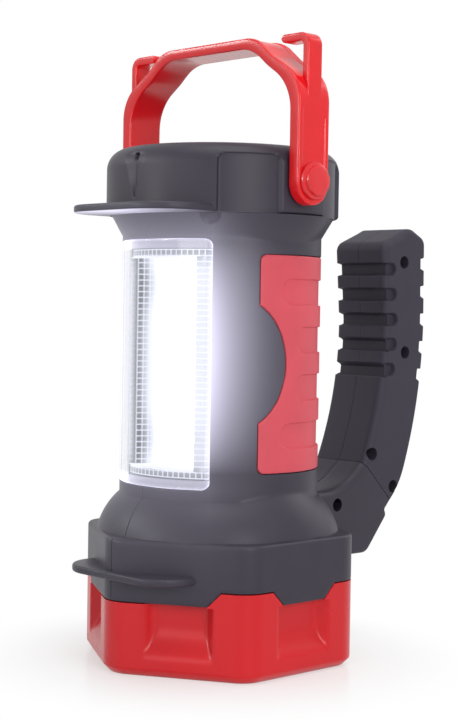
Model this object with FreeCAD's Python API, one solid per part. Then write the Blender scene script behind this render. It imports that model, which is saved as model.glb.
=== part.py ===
import FreeCAD, Part
import math
import os
from FreeCAD import Vector

# Camping lantern with a turning pistol grip. Millimetres, +Z up, the light window faces -Y.
# The origin is on the body's axis, on the plane that the lantern stands on.

# Battery stack, which sets the height of the body tube
cell_diameter = 26.2
cell_length = 50.0
cells_per_column = 2
cell_clearance = 0.3
cell_nub = 1.5
cell_nub_radius = 4.4
holder_wall = 1.2
holder_floor = 2.0
holder_top_gap = 10.0
holder_window_sill = 33.0
holder_window_head = 16.0
contact_height = 5.7
contact_foot_radius = 7.9
contact_tip_radius = 3.9
contact_plate = 0.8
contact_plate_margin = 2.0
holder_board_gap = 3.38

# Body tube, dome, neck and the six-sided skirt
body_radius = 43.0
shell_wall = 3.2
base_height = 30.5
tooth_rise = 6.2
skirt_height = 25.5
rim_round = 1.5
rim_ledge = 0.8
dome_height = 15.4
dome_crown = 1.35
neck_height = 8.1
neck_flare = 4.9
ledge_height = 2.0
ledge_width = 3.0
plug_margin = 0.6
hex_apothem = 53.24
hex_corner_radius = 13.1
tongue_half = 12.0
lobe_radius = 40.0
lobe_offset = 14.0
lobe_rise = 3.1
dimple_radius = 6.0
dimple_depth = 1.5
dimple_angle = 41.0
dimple_rise = 5.4

# Red bezel round the spot lamp
base_chamfer = 3.0
recess_half = 14.8
recess_depth = 5.0
recess_sill = 8.0
recess_slope = 9.0
recess_taper = 3.3
recess_round = 2.0
spigot_rise = 7.5
spigot_gap = 0.1
lamp_radius = 45.0
lens_seat_width = 3.0
lens_seat_height = 5.0
spot_lens_thickness = 2.5
seal_thickness = 1.5
reflector_wall = 1.5
reflector_height = 37.0
reflector_neck = 7.0
board_thickness = 1.6
spot_board_radius = 11.0
emitter_radius = 2.6
emitter_height = 1.5
sink_radius = 14.0
sink_height = 11.0
sink_fins = 5
sink_fin_thickness = 1.4

# Light window, its lens and tray
window_half = 28.8
window_sill = 4.9
window_head = 2.0
window_corner = 3.0
lens_gap = 0.1
lens_flange = 2.0
lens_flange_thickness = 1.6
tray_depth = 22.0
tray_floor = 1.5
tray_floor_half = 11.0
tray_end_taper = 4.0
tray_rim = 2.4
led_rows = 12
led_columns = 2
led_width = 3.5
led_height = 2.8
led_rise = 0.9
led_board_half = 8.5

# Red grip panels on the sides of the tube
panel_sill = 11.6
panel_head = 8.0
panel_front = 15.7
panel_back = 37.2
panel_corner = 3.0
panel_thickness = 1.6
panel_gap = 0.1
bite_radius = 29.1
bite_depth = 13.0
panel_groove = 10.8
panel_groove_depth = 0.9
panel_groove_pitch = 20.0
panel_groove_back = 34.0
outer_groove_front = -5.0
inner_groove_front = 3.2

# Visors above and below the window
visor_thickness = 3.2
top_visor_reach = 65.0
top_visor_half = 34.0
top_visor_corner = 20.0
low_visor_reach = 62.2
low_visor_half = 33.0
low_visor_corner = 16.0
low_visor_rise = 8.7

# Twist-off battery cap
cap_gap = 0.3
cap_radius = 50.2
cap_height = 28.7
cap_round = 9.0
cap_foot_round = 2.5
cap_wall = 3.5
cap_floor = 2.5
plug_wall = 4.0
plug_gap = 0.4
cap_seal_width = 2.0
cap_seal_depth = 1.25
cap_seal_proud = 0.1
cap_recess_depth = 1.8
cap_recess_angle = 59.75
cap_recess_half = 13.4
cap_recess_head = 4.7
mark_top_half = 7.0
mark_low_half = 1.6
mark_foot = 7.0
mark_head = 1.7
mark_depth = 1.8
mark_round = 1.2
mark_hole_radius = 1.5
mark_hole_drop = 5.6

# Bail strap, its hooks and pivots
bail_pivot_rise = 13.5
bail_pivot_forward = 1.8
bail_inside = 50.2
bail_leg = 5.7
bail_slope = 5.0
bail_top = 4.5
bail_width = 17.8
bail_height = 60.2
bail_edge_round = 0.8
bail_rim = 2.4
bail_rim_rise = 0.5
shoulder_rise = 41.1
shoulder_end = 39.5
shoulder_top_rise = 51.7
shoulder_round = 16.0
valley_round = 20.0
crest_half = 29.2
crest_round = 9.0
bail_end_drop = 1.0
hook_width = 8.2
hook_thickness = 3.5
hook_length = 15.9
hook_rise = 0.2
hook_round = 5.2
hook_tip_round = 1.5
hook_root = 7.6
pivot_radius = 3.0
pivot_fit = 0.05
pivot_flange_radius = 7.7
pivot_flange = 1.3
pivot_head_radius = 6.3
pivot_head = 3.3
pivot_head_round = 0.75
pivot_depth = 10.0
pivot_boss_radius = 7.0
running_gap = 0.3

# Swivelling pistol grip
joint_back = 86.35
joint_rise = 15.65
joint_half = 13.4
joint_gap = 0.3
grip_half = 16.1
grip_round = 4.0
grip_back_round = 1.2
grip_brow_round = 5.0
grip_wall = 3.0
grip_rise = 119.05
grip_bend_rise = 75.35
grip_inner_back = 4.1
grip_inner_lean = 2.7
grip_inner_bow = 3.7
grip_depth = 27.55
grip_outer_lean = 0.6
grip_knee_back = 19.05
grip_knee_rise = 5.25
grip_outer_bow = 3.05
grip_heel_bow = 1.0
grip_front_drop = 8.2
grip_back_drop = 5.7
grip_peak = 9.5
grip_groove = 5.6
grip_groove_depth = 3.2
grip_groove_side = 2.2
grip_groove_reach = 7.9
grip_groove_count = 5
inner_groove_rise = 98.85
inner_groove_pitch = 11.7
outer_groove_rise = 102.05
outer_groove_pitch = 13.3
stub_foot_rise = 8.6
stub_heel_run = 15.9
stub_heel_round = 6.0
stub_back_lean = 2.4
stub_back_rise = 6.7
stub_back_round = 2.0
stub_notch_lean = 3.9
stub_notch_rise = 4.3
stub_notch_round = 1.5
stub_lip_round = 2.0
stub_dip_run = 13.0
stub_dip_drop = 11.5
stub_dip_round = 30.0
stub_root_drop = 2.0
stub_root_depth = 8.0
post_radius = 6.0
post_fit = 0.05
post_up = 16.0
post_down = 15.0
post_flange_radius = 8.2
post_flange_up = 5.0
post_flange_thickness = 3.0
washer_thickness = 1.5
washer_room = 1.1
swivel_screw_length = 9.0

# Screws that hold the shell and grip halves together
screw_recess_radius = 3.0
screw_seat = 6.0
screw_head_radius = 2.7
screw_head_height = 1.8
screw_radius = 1.4
screw_free_radius = 1.6
screw_length = 14.0
boss_radius = 4.5
tube_screw_back = 33.0
tube_screw_rises = (16.6, 52.6)
stub_screw_ahead = 27.05
stub_screw_drop = 9.05
grip_screw_offsets = ((16.25, 102.35), (17.95, 59.95), (-4.8, 12.95), (11.0, -2.95))

# Power button and its board
button_radius = 6.7
button_hole_gap = 0.3
button_proud = 1.5
button_round = 1.2
button_flange_radius = 8.5
button_flange_thickness = 1.2
button_flange_gap = 0.4
button_travel = 1.4
button_drop = 21.6
switch_half = 3.5
switch_plunger = 0.6
switch_plunger_radius = 1.75
switch_depth = 3.4
driver_height = 32.0
board_edge_gap = 0.15

# Directions, the reach of cutters, and the share of a half width that makes a nearly round end
UP = Vector(0, 0, 1)
ORIGIN = Vector(0, 0, 0)
FAR = 150.0
PAST = 2.0
ROUND_END = 0.95

# Levels and radii that follow from the sizes above
stack_height = cells_per_column * cell_length
tube_height = (ledge_height + holder_floor + contact_height + stack_height
               + cap_gap + contact_plate - plug_margin)
rim_level = base_height + skirt_height
tube_level = rim_level + dome_height
neck_level = tube_level + tube_height
neck_top = neck_level + neck_height
cap_level = neck_top + cap_gap
cap_top = cap_level + cap_height
plug_level = neck_level + plug_margin
bore_radius = body_radius - shell_wall
dome_radius = hex_apothem - rim_ledge
neck_radius = body_radius + neck_flare
cell_radius = cell_diameter / 2
cell_bottom = plug_level - contact_plate - cap_gap - stack_height
holder_level = tube_level + ledge_height
pivot_level = cap_level + bail_pivot_rise
joint_level = rim_level + joint_rise
joint_reach = joint_half * math.sqrt(0.5)
grip_top = joint_level + grip_rise
button_level = neck_level - button_drop
flange_front = math.sqrt(bore_radius ** 2 - button_flange_radius ** 2) - button_flange_gap
flange_back = flange_front - button_flange_thickness
switch_front = flange_back - button_travel - running_gap
driver_front = switch_front - switch_plunger - switch_depth
lamp_room = lamp_radius - board_edge_gap
tube_screws = [(tube_screw_back, tube_level + rise) for rise in tube_screw_rises]
stub_screw = (joint_back - stub_screw_ahead, joint_level - stub_screw_drop)
grip_screw_places = [(joint_back + y, joint_level + z) for y, z in grip_screw_offsets]


def around(radius, angle, z=0.0):
    """Point at an angle from the front, turning towards +X."""
    turn = math.radians(angle)
    return Vector(radius * math.sin(turn), -radius * math.cos(turn), z)


def side(y, z):
    """Point of an outline drawn on the middle plane."""
    return Vector(0, y, z)


def rounded(points, radii):
    """Closed outline of straight runs joined by tangent arcs."""
    starts = []
    middles = []
    ends = []
    for index, corner in enumerate(points):
        before = points[index - 1].sub(corner).normalize()
        after = points[(index + 1) % len(points)].sub(corner).normalize()
        half = before.getAngle(after) / 2
        reach = radii[index] / math.tan(half)
        bisector = before.add(after).normalize()
        starts.append(corner + before * reach)
        ends.append(corner + after * reach)
        middles.append(corner + bisector * (radii[index] / math.sin(half) - radii[index]))
    edges = []
    for index, start in enumerate(starts):
        if radii[index] > 0:
            edges.append(Part.Arc(start, middles[index], ends[index]).toShape())
        following = starts[(index + 1) % len(starts)]
        if ends[index].distanceToPoint(following) > 1e-6:
            edges.append(Part.LineSegment(ends[index], following).toShape())
    return Part.Wire(edges)


def slab(points, radii, start, along):
    """Rounded outline moved to its start and drawn out along a direction."""
    face = Part.Face(rounded(points, radii))
    face.translate(start)
    return face.extrude(along)


def ring(inner, outer, low, high):
    """Round wall between two radii and two levels."""
    wall = Part.makeCylinder(outer, high - low, Vector(0, 0, low))
    return wall.cut(Part.makeCylinder(inner, high - low, Vector(0, 0, low)))


def turned(points):
    """Solid of revolution of an outline of (radius, level) points."""
    corners = [Vector(radius, 0, level) for radius, level in points]
    outline = Part.makePolygon(corners + corners[:1])
    return Part.Face(outline).revolve(ORIGIN, UP, 360)


def hexagon(apothem, corner_radius, low, high):
    """Six-sided prism with rounded corners, one of them at the front."""
    tip = apothem / math.cos(math.pi / 6)
    corners = [around(tip, 60 * number) for number in range(6)]
    return slab(corners, [corner_radius] * 6, Vector(0, 0, low), UP * (high - low))


def turn_to(shape, angle):
    """Copy of a shape made at the front, turned about the axis."""
    copy = shape.copy()
    copy.rotate(ORIGIN, UP, angle)
    return copy


def mirrored(shape):
    """The other hand of a shape."""
    return shape.mirror(ORIGIN, Vector(1, 0, 0))


def rod(radius, start, along):
    """Round bar from a start point along a vector."""
    return Part.makeCylinder(radius, along.Length, start, along)


def block(low, high):
    """Box between two corners."""
    return Part.makeBox(high.x - low.x, high.y - low.y, high.z - low.z, low)


def joined(shapes):
    """One clean solid from overlapping ones."""
    return shapes[0].multiFuse(shapes[1:]).removeSplitter()


def save(shape, name):
    """Write one node of the assembly."""
    shape.exportStep("parts/" + name + ".step")


def at_joint(shape):
    """Move a shape made along Z onto the swivel's axis, which leans back by 45 degrees."""
    moved = shape.copy()
    moved.Placement = FreeCAD.Placement(side(joint_back, joint_level),
                                        FreeCAD.Rotation(Vector(1, 0, 0), -45))
    return moved


def joint_rod(radius, low, high):
    """Round bar on the swivel's axis, between two distances from the joint plane."""
    return at_joint(Part.makeCylinder(radius, high - low, Vector(0, 0, low)))


def below_joint(gap):
    """Everything on the body's side of the joint plane."""
    return at_joint(block(Vector(-FAR, -FAR, -FAR), Vector(FAR, FAR, -gap)))


def above_joint(gap):
    """Everything on the grip's side of the joint plane."""
    return at_joint(block(Vector(-FAR, -FAR, gap), Vector(FAR, FAR, FAR)))


def edges_at(shape, x):
    """Edges that lie in a plane square to X."""
    found = []
    for edge in shape.Edges:
        box = edge.BoundBox
        if abs(box.XMin - x) < 1e-4 and abs(box.XMax - x) < 1e-4:
            found.append(edge)
    return found


# Screws: a head on its seat in a round recess, and a shank that bites into the far half
def screw(y, z):
    """Screw along X, with its head in the right half."""
    head = rod(screw_head_radius, Vector(screw_seat, y, z), Vector(screw_head_height, 0, 0))
    shank = rod(screw_radius, Vector(screw_seat - screw_length, y, z), Vector(screw_length, 0, 0))
    return joined([head, shank])


def screw_holes(y, z):
    """Recess and free hole in the right half, and the pilot hole in the left half."""
    recess = rod(screw_recess_radius, Vector(screw_seat, y, z), Vector(FAR, 0, 0))
    free = rod(screw_free_radius, Vector(0, y, z), Vector(screw_seat, 0, 0))
    bite = screw_length - screw_seat
    pilot = rod(screw_radius, Vector(-bite, y, z), Vector(bite, 0, 0))
    return joined([recess, free, pilot])


# Parting line between bezel and skirt: black tongues come down on the flats and round the front
def tongues():
    """Space of the skirt's tongues between the two parting levels."""
    high = base_height + tooth_rise
    outline = [Vector(-tongue_half, 0, base_height), Vector(tongue_half, 0, base_height),
               Vector(tongue_half + tooth_rise, 0, high), Vector(-tongue_half - tooth_rise, 0, high)]
    tongue = slab(outline, [0] * 4, Vector(0, -FAR, 0), Vector(0, FAR - hex_apothem / 2, 0))
    front = slab([ORIGIN, around(FAR, -30), around(FAR, 30)], [0] * 3,
                 Vector(0, 0, base_height), UP * tooth_rise)
    return joined([front] + [turn_to(tongue, 60 * number + 30) for number in range(6)])


def visor(reach, half, corner, low):
    """Flat plate with a straight front and large round corners."""
    corners = [Vector(-half, -reach, 0), Vector(half, -reach, 0), Vector(half, 0, 0), Vector(-half, 0, 0)]
    return slab(corners, [corner, corner, 0, 0], Vector(0, 0, low), UP * visor_thickness)


# The two half shells: skirt, dome, tube and neck, with the stub that carries the grip
def window(margin):
    """Prism of the light window, widened by a margin."""
    low = tube_level + window_sill - margin
    high = neck_level - window_head + margin
    half = window_half + margin
    corners = [Vector(-half, 0, low), Vector(half, 0, low), Vector(half, 0, high), Vector(-half, 0, high)]
    reach = Vector(0, FAR - bore_radius / 2, 0)
    return slab(corners, [window_corner + margin] * 4, Vector(0, -FAR, 0), reach)


def body_outside():
    """Dome, tube and neck as one turned form."""
    base = Vector(dome_radius, 0, rim_level)
    top = Vector(body_radius, 0, tube_level)
    across = top.sub(base).normalize()
    crown = (base + top) * 0.5 + Vector(across.z, 0, -across.x) * dome_crown
    start = Vector(dome_radius, 0, rim_level - rim_round)
    runs = [top, Vector(body_radius, 0, neck_level), Vector(neck_radius, 0, neck_top), Vector(0, 0, neck_top),
            Vector(0, 0, rim_level - rim_round), start, base]
    edges = [Part.LineSegment(runs[number], runs[number + 1]).toShape() for number in range(len(runs) - 1)]
    edges.append(Part.Arc(base, crown, top).toShape())
    return Part.Face(Part.Wire(edges)).revolve(ORIGIN, UP, 360)


def lobes():
    """Round swellings of dome and neck on both sides."""
    drop = math.sqrt(lobe_radius ** 2 - (body_radius - lobe_offset) ** 2)
    low = Part.makeSphere(lobe_radius, Vector(lobe_offset, 0, tube_level + lobe_rise - drop))
    high = Part.makeSphere(lobe_radius, Vector(lobe_offset, 0, neck_level - lobe_rise + drop))
    span = block(Vector(0, -FAR, rim_level - rim_round), Vector(FAR, FAR, neck_top))
    right = joined([low.common(span), high.common(span)])
    return [right, mirrored(right)]


def skirt():
    """Six-sided wall above the bezel, with its tongues and a rounded rim."""
    split = base_height + tooth_rise
    wall = hexagon(hex_apothem, hex_corner_radius, split, rim_level)
    rim = [edge for edge in wall.Edges if edge.BoundBox.ZMin > rim_level - 1e-4]
    wall = wall.makeFillet(rim_round, rim)
    band = hexagon(hex_apothem, hex_corner_radius, base_height, split).common(tongues())
    return joined([wall, band])


def stub():
    """Arm at the back that ends in the slanted swivel joint."""
    low = side(joint_back + joint_reach, joint_level - joint_reach)
    high = side(joint_back - joint_reach, joint_level + joint_reach)
    ahead = side(grip_round * 2, grip_round * 2)
    foot = base_height + stub_foot_rise
    heel = side(low.y - stub_heel_run, foot)
    back = side(low.y - stub_back_lean, low.z - stub_back_rise)
    inside = side(bore_radius - stub_root_depth, foot)
    root = side(bore_radius - stub_root_depth, tube_level - stub_root_drop)
    dip = side(high.y - stub_dip_run, high.z - stub_dip_drop)
    notch = side(low.y - stub_notch_lean, low.z - stub_notch_rise)
    corners = [inside, heel, back, notch, low, low + ahead, high + ahead, high, dip, root]
    below = [0, stub_heel_round, stub_back_round, stub_notch_round, 0]
    radii = below + [0, 0, stub_lip_round, stub_dip_round, 0]
    arm = slab(corners, radii, Vector(-grip_half, 0, 0), Vector(2 * grip_half, 0, 0))
    rims = edges_at(arm, grip_half) + edges_at(arm, -grip_half)
    arm = arm.makeFillet(grip_round, [edge for edge in rims if edge.BoundBox.ZMin > root.z - PAST])
    rims = edges_at(arm, grip_half) + edges_at(arm, -grip_half)
    arm = arm.makeFillet(grip_back_round, [edge for edge in rims if edge.BoundBox.ZMax < low.z + PAST])
    return arm.common(below_joint(joint_gap / 2))


def cavity():
    """Hollow inside the shells, with the ledge that the battery holder stands on."""
    dome_room = dome_radius - shell_wall
    roof = rim_level - shell_wall
    hall = hexagon(hex_apothem - shell_wall, hex_corner_radius - shell_wall, base_height - PAST, roof)
    narrow = bore_radius - ledge_width
    shaft = turned([(0, base_height), (dome_room, base_height), (dome_room, rim_level), (narrow, tube_level),
                    (narrow, holder_level), (bore_radius, holder_level), (bore_radius, neck_top + PAST),
                    (0, neck_top + PAST)])
    return joined([hall, shaft])


def panel_outline(margin, inner, outer):
    """Grip panel, drawn from the side and cut from a round wall, widened by a margin."""
    low = tube_level + panel_sill - margin
    high = neck_level - panel_head + margin
    front = -panel_front - margin
    back = panel_back + margin
    corners = [side(front, low), side(back, low), side(back, high), side(front, high)]
    plate = slab(corners, [panel_corner + margin] * 4, ORIGIN, Vector(FAR, 0, 0))
    deepest = bite_depth - panel_front - bite_radius
    middle = side(deepest, (low + high) / 2)
    plate = plate.cut(rod(bite_radius - margin, middle, Vector(FAR, 0, 0)))
    return plate.common(ring(inner, outer, low, high))


def neck_dimples():
    """Shallow round dimples on the neck, beside the upper visor."""
    level = neck_level + dimple_rise
    reach = body_radius + neck_flare * dimple_rise / neck_height + dimple_radius - dimple_depth
    angles = (-dimple_angle, dimple_angle)
    return [Part.makeSphere(dimple_radius, around(reach, angle, level)) for angle in angles]


def shells():
    """Right and left half shells, parted on the middle plane."""
    low_visor = visor(low_visor_reach, low_visor_half, low_visor_corner, base_height + low_visor_rise)
    outside = joined([body_outside(), skirt(), low_visor, stub()] + lobes())
    hollow = outside.cut([cavity(), window(0)])
    posts = [rod(boss_radius, Vector(-FAR, y, z), Vector(2 * FAR, 0, 0)) for y, z in tube_screws]
    pocket_floor = body_radius - panel_thickness
    inside = Part.makeCylinder(pocket_floor - panel_gap, tube_height, Vector(0, 0, tube_level))
    hollow = joined([hollow] + [post.common(inside) for post in posts])
    pocket = panel_outline(panel_gap, pocket_floor, FAR)
    washer_end = post_down + washer_room + screw_head_height
    washer_start = post_down - washer_thickness - running_gap
    tools = [pocket, mirrored(pocket)] + neck_dimples()
    tools.append(joint_rod(post_radius + post_fit, -washer_end, PAST))
    tools.append(joint_rod(post_flange_radius + washer_room, -washer_end - washer_room, -washer_start))
    tools.append(rod(button_radius + button_hole_gap, side(bore_radius / 2, button_level), Vector(0, FAR, 0)))
    tools += [screw_holes(y, z) for y, z in [stub_screw] + tube_screws]
    whole = hollow.cut(tools)
    right = whole.common(block(Vector(0, -FAR, 0), Vector(FAR, FAR, FAR * 2)))
    left = whole.common(block(Vector(-FAR, -FAR, 0), Vector(0, FAR, FAR * 2)))
    return right, left


# Red bezel: a six-sided ring with a scooped recess on each flat
def flat_recess():
    """Scoop on the front flat: sloped sill, slanted sides, open at the top."""
    floor = recess_depth - hex_apothem
    ahead = -hex_apothem - PAST
    high = base_height + PAST
    profile = [side(ahead, high), side(floor, high), side(floor, recess_sill + recess_slope),
               side(ahead, recess_sill - PAST * recess_slope / recess_depth)]
    scoop = slab(profile, [0, 0, recess_round, 0], Vector(-recess_half, 0, 0), Vector(2 * recess_half, 0, 0))
    back = recess_half - recess_taper
    mouth = recess_half + PAST
    plan = [Vector(-mouth, ahead, 0), Vector(mouth, ahead, 0),
            Vector(back, floor, 0), Vector(-back, floor, 0)]
    return scoop.common(slab(plan, [0] * 4, ORIGIN, UP * high))


def base_bezel():
    """Bezel with its teeth, its spigot inside the skirt and the seat of the spot lens."""
    lower = hexagon(hex_apothem, hex_corner_radius, 0, base_height)
    foot = [edge for edge in lower.Edges if edge.BoundBox.ZMax < 1e-4]
    lower = lower.makeChamfer(base_chamfer, foot)
    scoop = flat_recess()
    lower = lower.cut([turn_to(scoop, 60 * number + 30) for number in range(6)])
    band = hexagon(hex_apothem, hex_corner_radius, base_height, base_height + tooth_rise)
    teeth = band.cut(tongues())
    inset = shell_wall + spigot_gap
    spigot = hexagon(hex_apothem - inset, hex_corner_radius - inset, base_height, base_height + spigot_rise)
    solid = joined([lower, teeth, spigot])
    bore = Part.makeCylinder(lamp_radius, FAR, Vector(0, 0, lens_seat_height))
    mouth = Part.makeCylinder(lamp_radius - lens_seat_width, lens_seat_height, ORIGIN)
    return solid.cut([bore, mouth])


# Spot lamp in the bezel, shining down
spot_lens_level = lens_seat_height
seal_level = spot_lens_level + spot_lens_thickness
flange_level = seal_level + seal_thickness
spot_board_level = flange_level + reflector_height


def spot_reflector():
    """Bowl with a flat rim; its wall is an arc from the lamp to the rim."""
    rim = lamp_room - lens_seat_width
    middle = (rim + reflector_neck) / 2
    share = (middle ** 2 - reflector_neck ** 2) / (rim ** 2 - reflector_neck ** 2)
    inner = [Vector(reflector_neck, 0, spot_board_level),
             Vector(middle, 0, spot_board_level - reflector_height * share),
             Vector(rim, 0, spot_board_level - reflector_height)]
    outer = [point + Vector(reflector_wall, 0, 0) for point in inner]
    edges = [Part.Arc(*inner).toShape(), Part.LineSegment(inner[-1], outer[-1]).toShape(),
             Part.Arc(*outer).toShape(), Part.LineSegment(inner[0], outer[0]).toShape()]
    bowl = Part.Face(Part.Wire(Part.__sortEdges__(edges))).revolve(ORIGIN, UP, 360)
    flange = ring(rim, lamp_room, flange_level, flange_level + reflector_wall)
    return joined([bowl, flange])


def spot_led():
    """Round emitter under the lamp's board."""
    return Part.makeCylinder(emitter_radius, emitter_height, Vector(0, 0, spot_board_level - emitter_height))


def heat_sink():
    """Round plate on the lamp's board, with upright fins."""
    low = spot_board_level + board_thickness
    plate = Part.makeCylinder(sink_radius, board_thickness, Vector(0, 0, low))
    pitch = 2 * sink_radius / (sink_fins + 1)
    fins = []
    for number in range(sink_fins):
        x = (number - (sink_fins - 1) / 2) * pitch
        fins.append(block(Vector(x - sink_fin_thickness / 2, -sink_radius, low),
                          Vector(x + sink_fin_thickness / 2, sink_radius, low + sink_height)))
    round_stock = Part.makeCylinder(sink_radius, sink_height, Vector(0, 0, low))
    return joined([plate] + [fin.common(round_stock) for fin in fins])


# Light window: lens, white tray, board and emitters
def lantern_lens():
    """Curved clear cover with a flange behind the shells."""
    pane = window(-lens_gap).common(ring(bore_radius, body_radius, tube_level, neck_top))
    behind = ring(bore_radius - lens_flange_thickness, bore_radius, tube_level, neck_top)
    flange = window(lens_flange).common(behind)
    return joined([pane, flange])


tray_front = bore_radius - lens_flange_thickness
tray_back = tray_front - tray_depth
tray_low = tube_level + window_sill
tray_high = neck_level - window_head


def tray_form(front_half, back_half, front, back, inset):
    """Four-sided funnel that narrows towards the back of the tray."""
    wires = []
    for half, y, shorter in ((front_half, front, 0), (back_half, back, tray_end_taper)):
        low = tray_low + inset + shorter
        high = tray_high - inset - shorter
        corners = [Vector(-half, y, low), Vector(half, y, low), Vector(half, y, high), Vector(-half, y, high)]
        wires.append(Part.makePolygon(corners + corners[:1]))
    return Part.makeLoft(wires, True, True)


def lantern_reflector():
    """White tray with sloping sides and a rim that follows the lens."""
    rim_half = window_half - tray_floor
    outer = tray_form(rim_half, tray_floor_half + tray_floor, -tray_front, -tray_back, 0)
    floor = -tray_back - tray_floor
    inner = tray_form(rim_half - tray_rim, tray_floor_half, -tray_front - PAST, floor, tray_rim)
    drum = Part.makeCylinder(tray_front, neck_top - tube_level, Vector(0, 0, tube_level))
    rim = window(0).common(ring(tray_front - tray_floor, tray_front, tube_level, neck_top))
    return joined([outer.common(drum), rim]).cut(inner)


def led_board():
    """Board with the emitters, on the floor of the tray."""
    margin = tray_rim + window_sill
    return block(Vector(-led_board_half, -tray_back - tray_floor - board_thickness, tray_low + margin),
                 Vector(led_board_half, -tray_back - tray_floor, tray_high - margin))


def emitters():
    """Two columns of flat emitters on the board."""
    front = -tray_back - tray_floor - board_thickness
    margin = tray_rim + window_sill
    rise = (tray_high - tray_low - 2 * margin) / led_rows
    pitch = 2 * led_board_half / led_columns
    chips = []
    for row in range(led_rows):
        for column in range(led_columns):
            x = (column - (led_columns - 1) / 2) * pitch
            z = tray_low + margin + (row + 0.5) * rise
            chips.append(block(Vector(x - led_width / 2, front - led_rise, z - led_height / 2),
                               Vector(x + led_width / 2, front, z + led_height / 2)))
    return Part.makeCompound(chips)


# Red grip panels with four finger grooves
def grip_panel():
    """Panel of the right side, flush with the tube."""
    panel = panel_outline(0, body_radius - panel_thickness, body_radius)
    middle = (tube_level + panel_sill + neck_level - panel_head) / 2
    reach = ring(body_radius - panel_groove_depth, FAR, tube_level, neck_level)
    fronts = (outer_groove_front, inner_groove_front, inner_groove_front, outer_groove_front)
    half = panel_groove / 2
    for number, front in enumerate(fronts):
        level = middle + (number - (len(fronts) - 1) / 2) * panel_groove_pitch
        corners = [side(front, level - half), side(panel_groove_back, level - half),
                   side(panel_groove_back, level + half), side(front, level + half)]
        groove = slab(corners, [half * ROUND_END] * 4, ORIGIN, Vector(FAR, 0, 0))
        panel = panel.cut(groove.common(reach))
    return panel


# Batteries, their holder and contacts
column_half = cell_radius + cell_clearance + holder_wall
column_side = column_half - holder_wall / 2
column_back = driver_front - board_thickness - holder_board_gap - column_half
columns = [Vector(-column_side, column_back, 0), Vector(column_side, column_back, 0)]


def cells():
    """Cells standing in two columns, each with its small end cap."""
    found = []
    for place in columns:
        for number in range(cells_per_column):
            low = cell_bottom + number * cell_length
            neck = low + cell_length - cell_nub
            can = Part.makeCylinder(cell_radius, cell_length - cell_nub, place + Vector(0, 0, low))
            tip = Part.makeCylinder(cell_nub_radius, cell_nub, place + Vector(0, 0, neck))
            found.append(joined([can, tip]))
    return Part.makeCompound(found)


def battery_holder():
    """Two open tubes with a finger window, on a floor that stands on the shells' ledge."""
    high = cell_bottom + stack_height - holder_top_gap
    floor_top = holder_level + holder_floor
    plate = Part.makeCylinder(bore_radius - board_edge_gap, holder_floor, Vector(0, 0, holder_level))
    tubes = [Part.makeCylinder(column_half, high - holder_level, place + Vector(0, 0, holder_level))
             for place in columns]
    behind = block(Vector(-FAR, holder_wall - tray_back, tube_level), Vector(FAR, FAR, neck_top))
    solid = joined([plate] + tubes).common(behind)
    bores = [Part.makeCylinder(cell_radius + cell_clearance, FAR, place + Vector(0, 0, floor_top))
             for place in columns]
    opening = block(Vector(-FAR, -FAR, floor_top + holder_window_sill),
                    Vector(FAR, column_back - cell_radius / 2, high - holder_window_head))
    return solid.cut(bores + [opening])


def battery_contacts():
    """Cone-shaped contacts between the holder's floor and the lowest cells."""
    floor_top = holder_level + holder_floor
    cone = Part.makeCone(contact_foot_radius, contact_tip_radius, cell_bottom - floor_top)
    return Part.makeCompound([cone.translated(place + Vector(0, 0, floor_top)) for place in columns])


# Power button in the back of the tube, with its switch and board
def power_button():
    """Round button with a flange that keeps it in the shells."""
    length = body_radius + button_proud - flange_back
    stem = rod(button_radius, side(flange_back, button_level), Vector(0, length, 0))
    rim = [edge for edge in stem.Edges if edge.BoundBox.YMin > body_radius]
    stem = stem.makeFillet(button_round, rim)
    flange = rod(button_flange_radius, side(flange_back, button_level), Vector(0, button_flange_thickness, 0))
    return joined([stem, flange])


def switch_body():
    """Small push switch on the board."""
    case = block(Vector(-switch_half, driver_front, button_level - switch_half),
                 Vector(switch_half, driver_front + switch_depth, button_level + switch_half))
    reach = Vector(0, switch_depth + switch_plunger, 0)
    plunger = rod(switch_plunger_radius, side(driver_front, button_level), reach)
    return joined([case, plunger])


def driver_board():
    """Board held between the walls of the two shells."""
    half = math.sqrt(bore_radius ** 2 - driver_front ** 2) - board_edge_gap
    return block(Vector(-half, driver_front - board_thickness, button_level - driver_height / 2),
                 Vector(half, driver_front, button_level + driver_height / 2))


# Battery cap with the upper visor
def cap_recess(angle):
    """Shallow panel on the cap's side, open at the bottom."""
    low = cap_level - cap_wall
    high = cap_top - cap_recess_head
    corners = [Vector(-cap_recess_half, 0, low), Vector(cap_recess_half, 0, low),
               Vector(cap_recess_half, 0, high), Vector(-cap_recess_half, 0, high)]
    plate = slab(corners, [0, 0, window_corner, window_corner], Vector(0, -FAR, 0), Vector(0, FAR, 0))
    return turn_to(plate.common(ring(cap_radius - cap_recess_depth, FAR, low, high)), angle)


def cap_mark():
    """Tapered mark on the front, with a small round hole near its top."""
    low = cap_level + mark_foot
    high = cap_top - mark_head
    corners = [Vector(-mark_low_half, 0, low), Vector(mark_low_half, 0, low),
               Vector(mark_top_half, 0, high), Vector(-mark_top_half, 0, high)]
    depth = cap_radius - mark_depth
    groove = slab(corners, [mark_round, mark_round, 0, 0], Vector(0, -FAR, 0), Vector(0, FAR - depth, 0))
    hole = rod(mark_hole_radius, Vector(0, -depth + mark_depth, cap_top - mark_hole_drop), Vector(0, -FAR, 0))
    return [groove, hole]


cap_room = cap_radius - cap_wall
plug_radius = bore_radius - plug_gap
pad = bail_inside - running_gap


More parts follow.
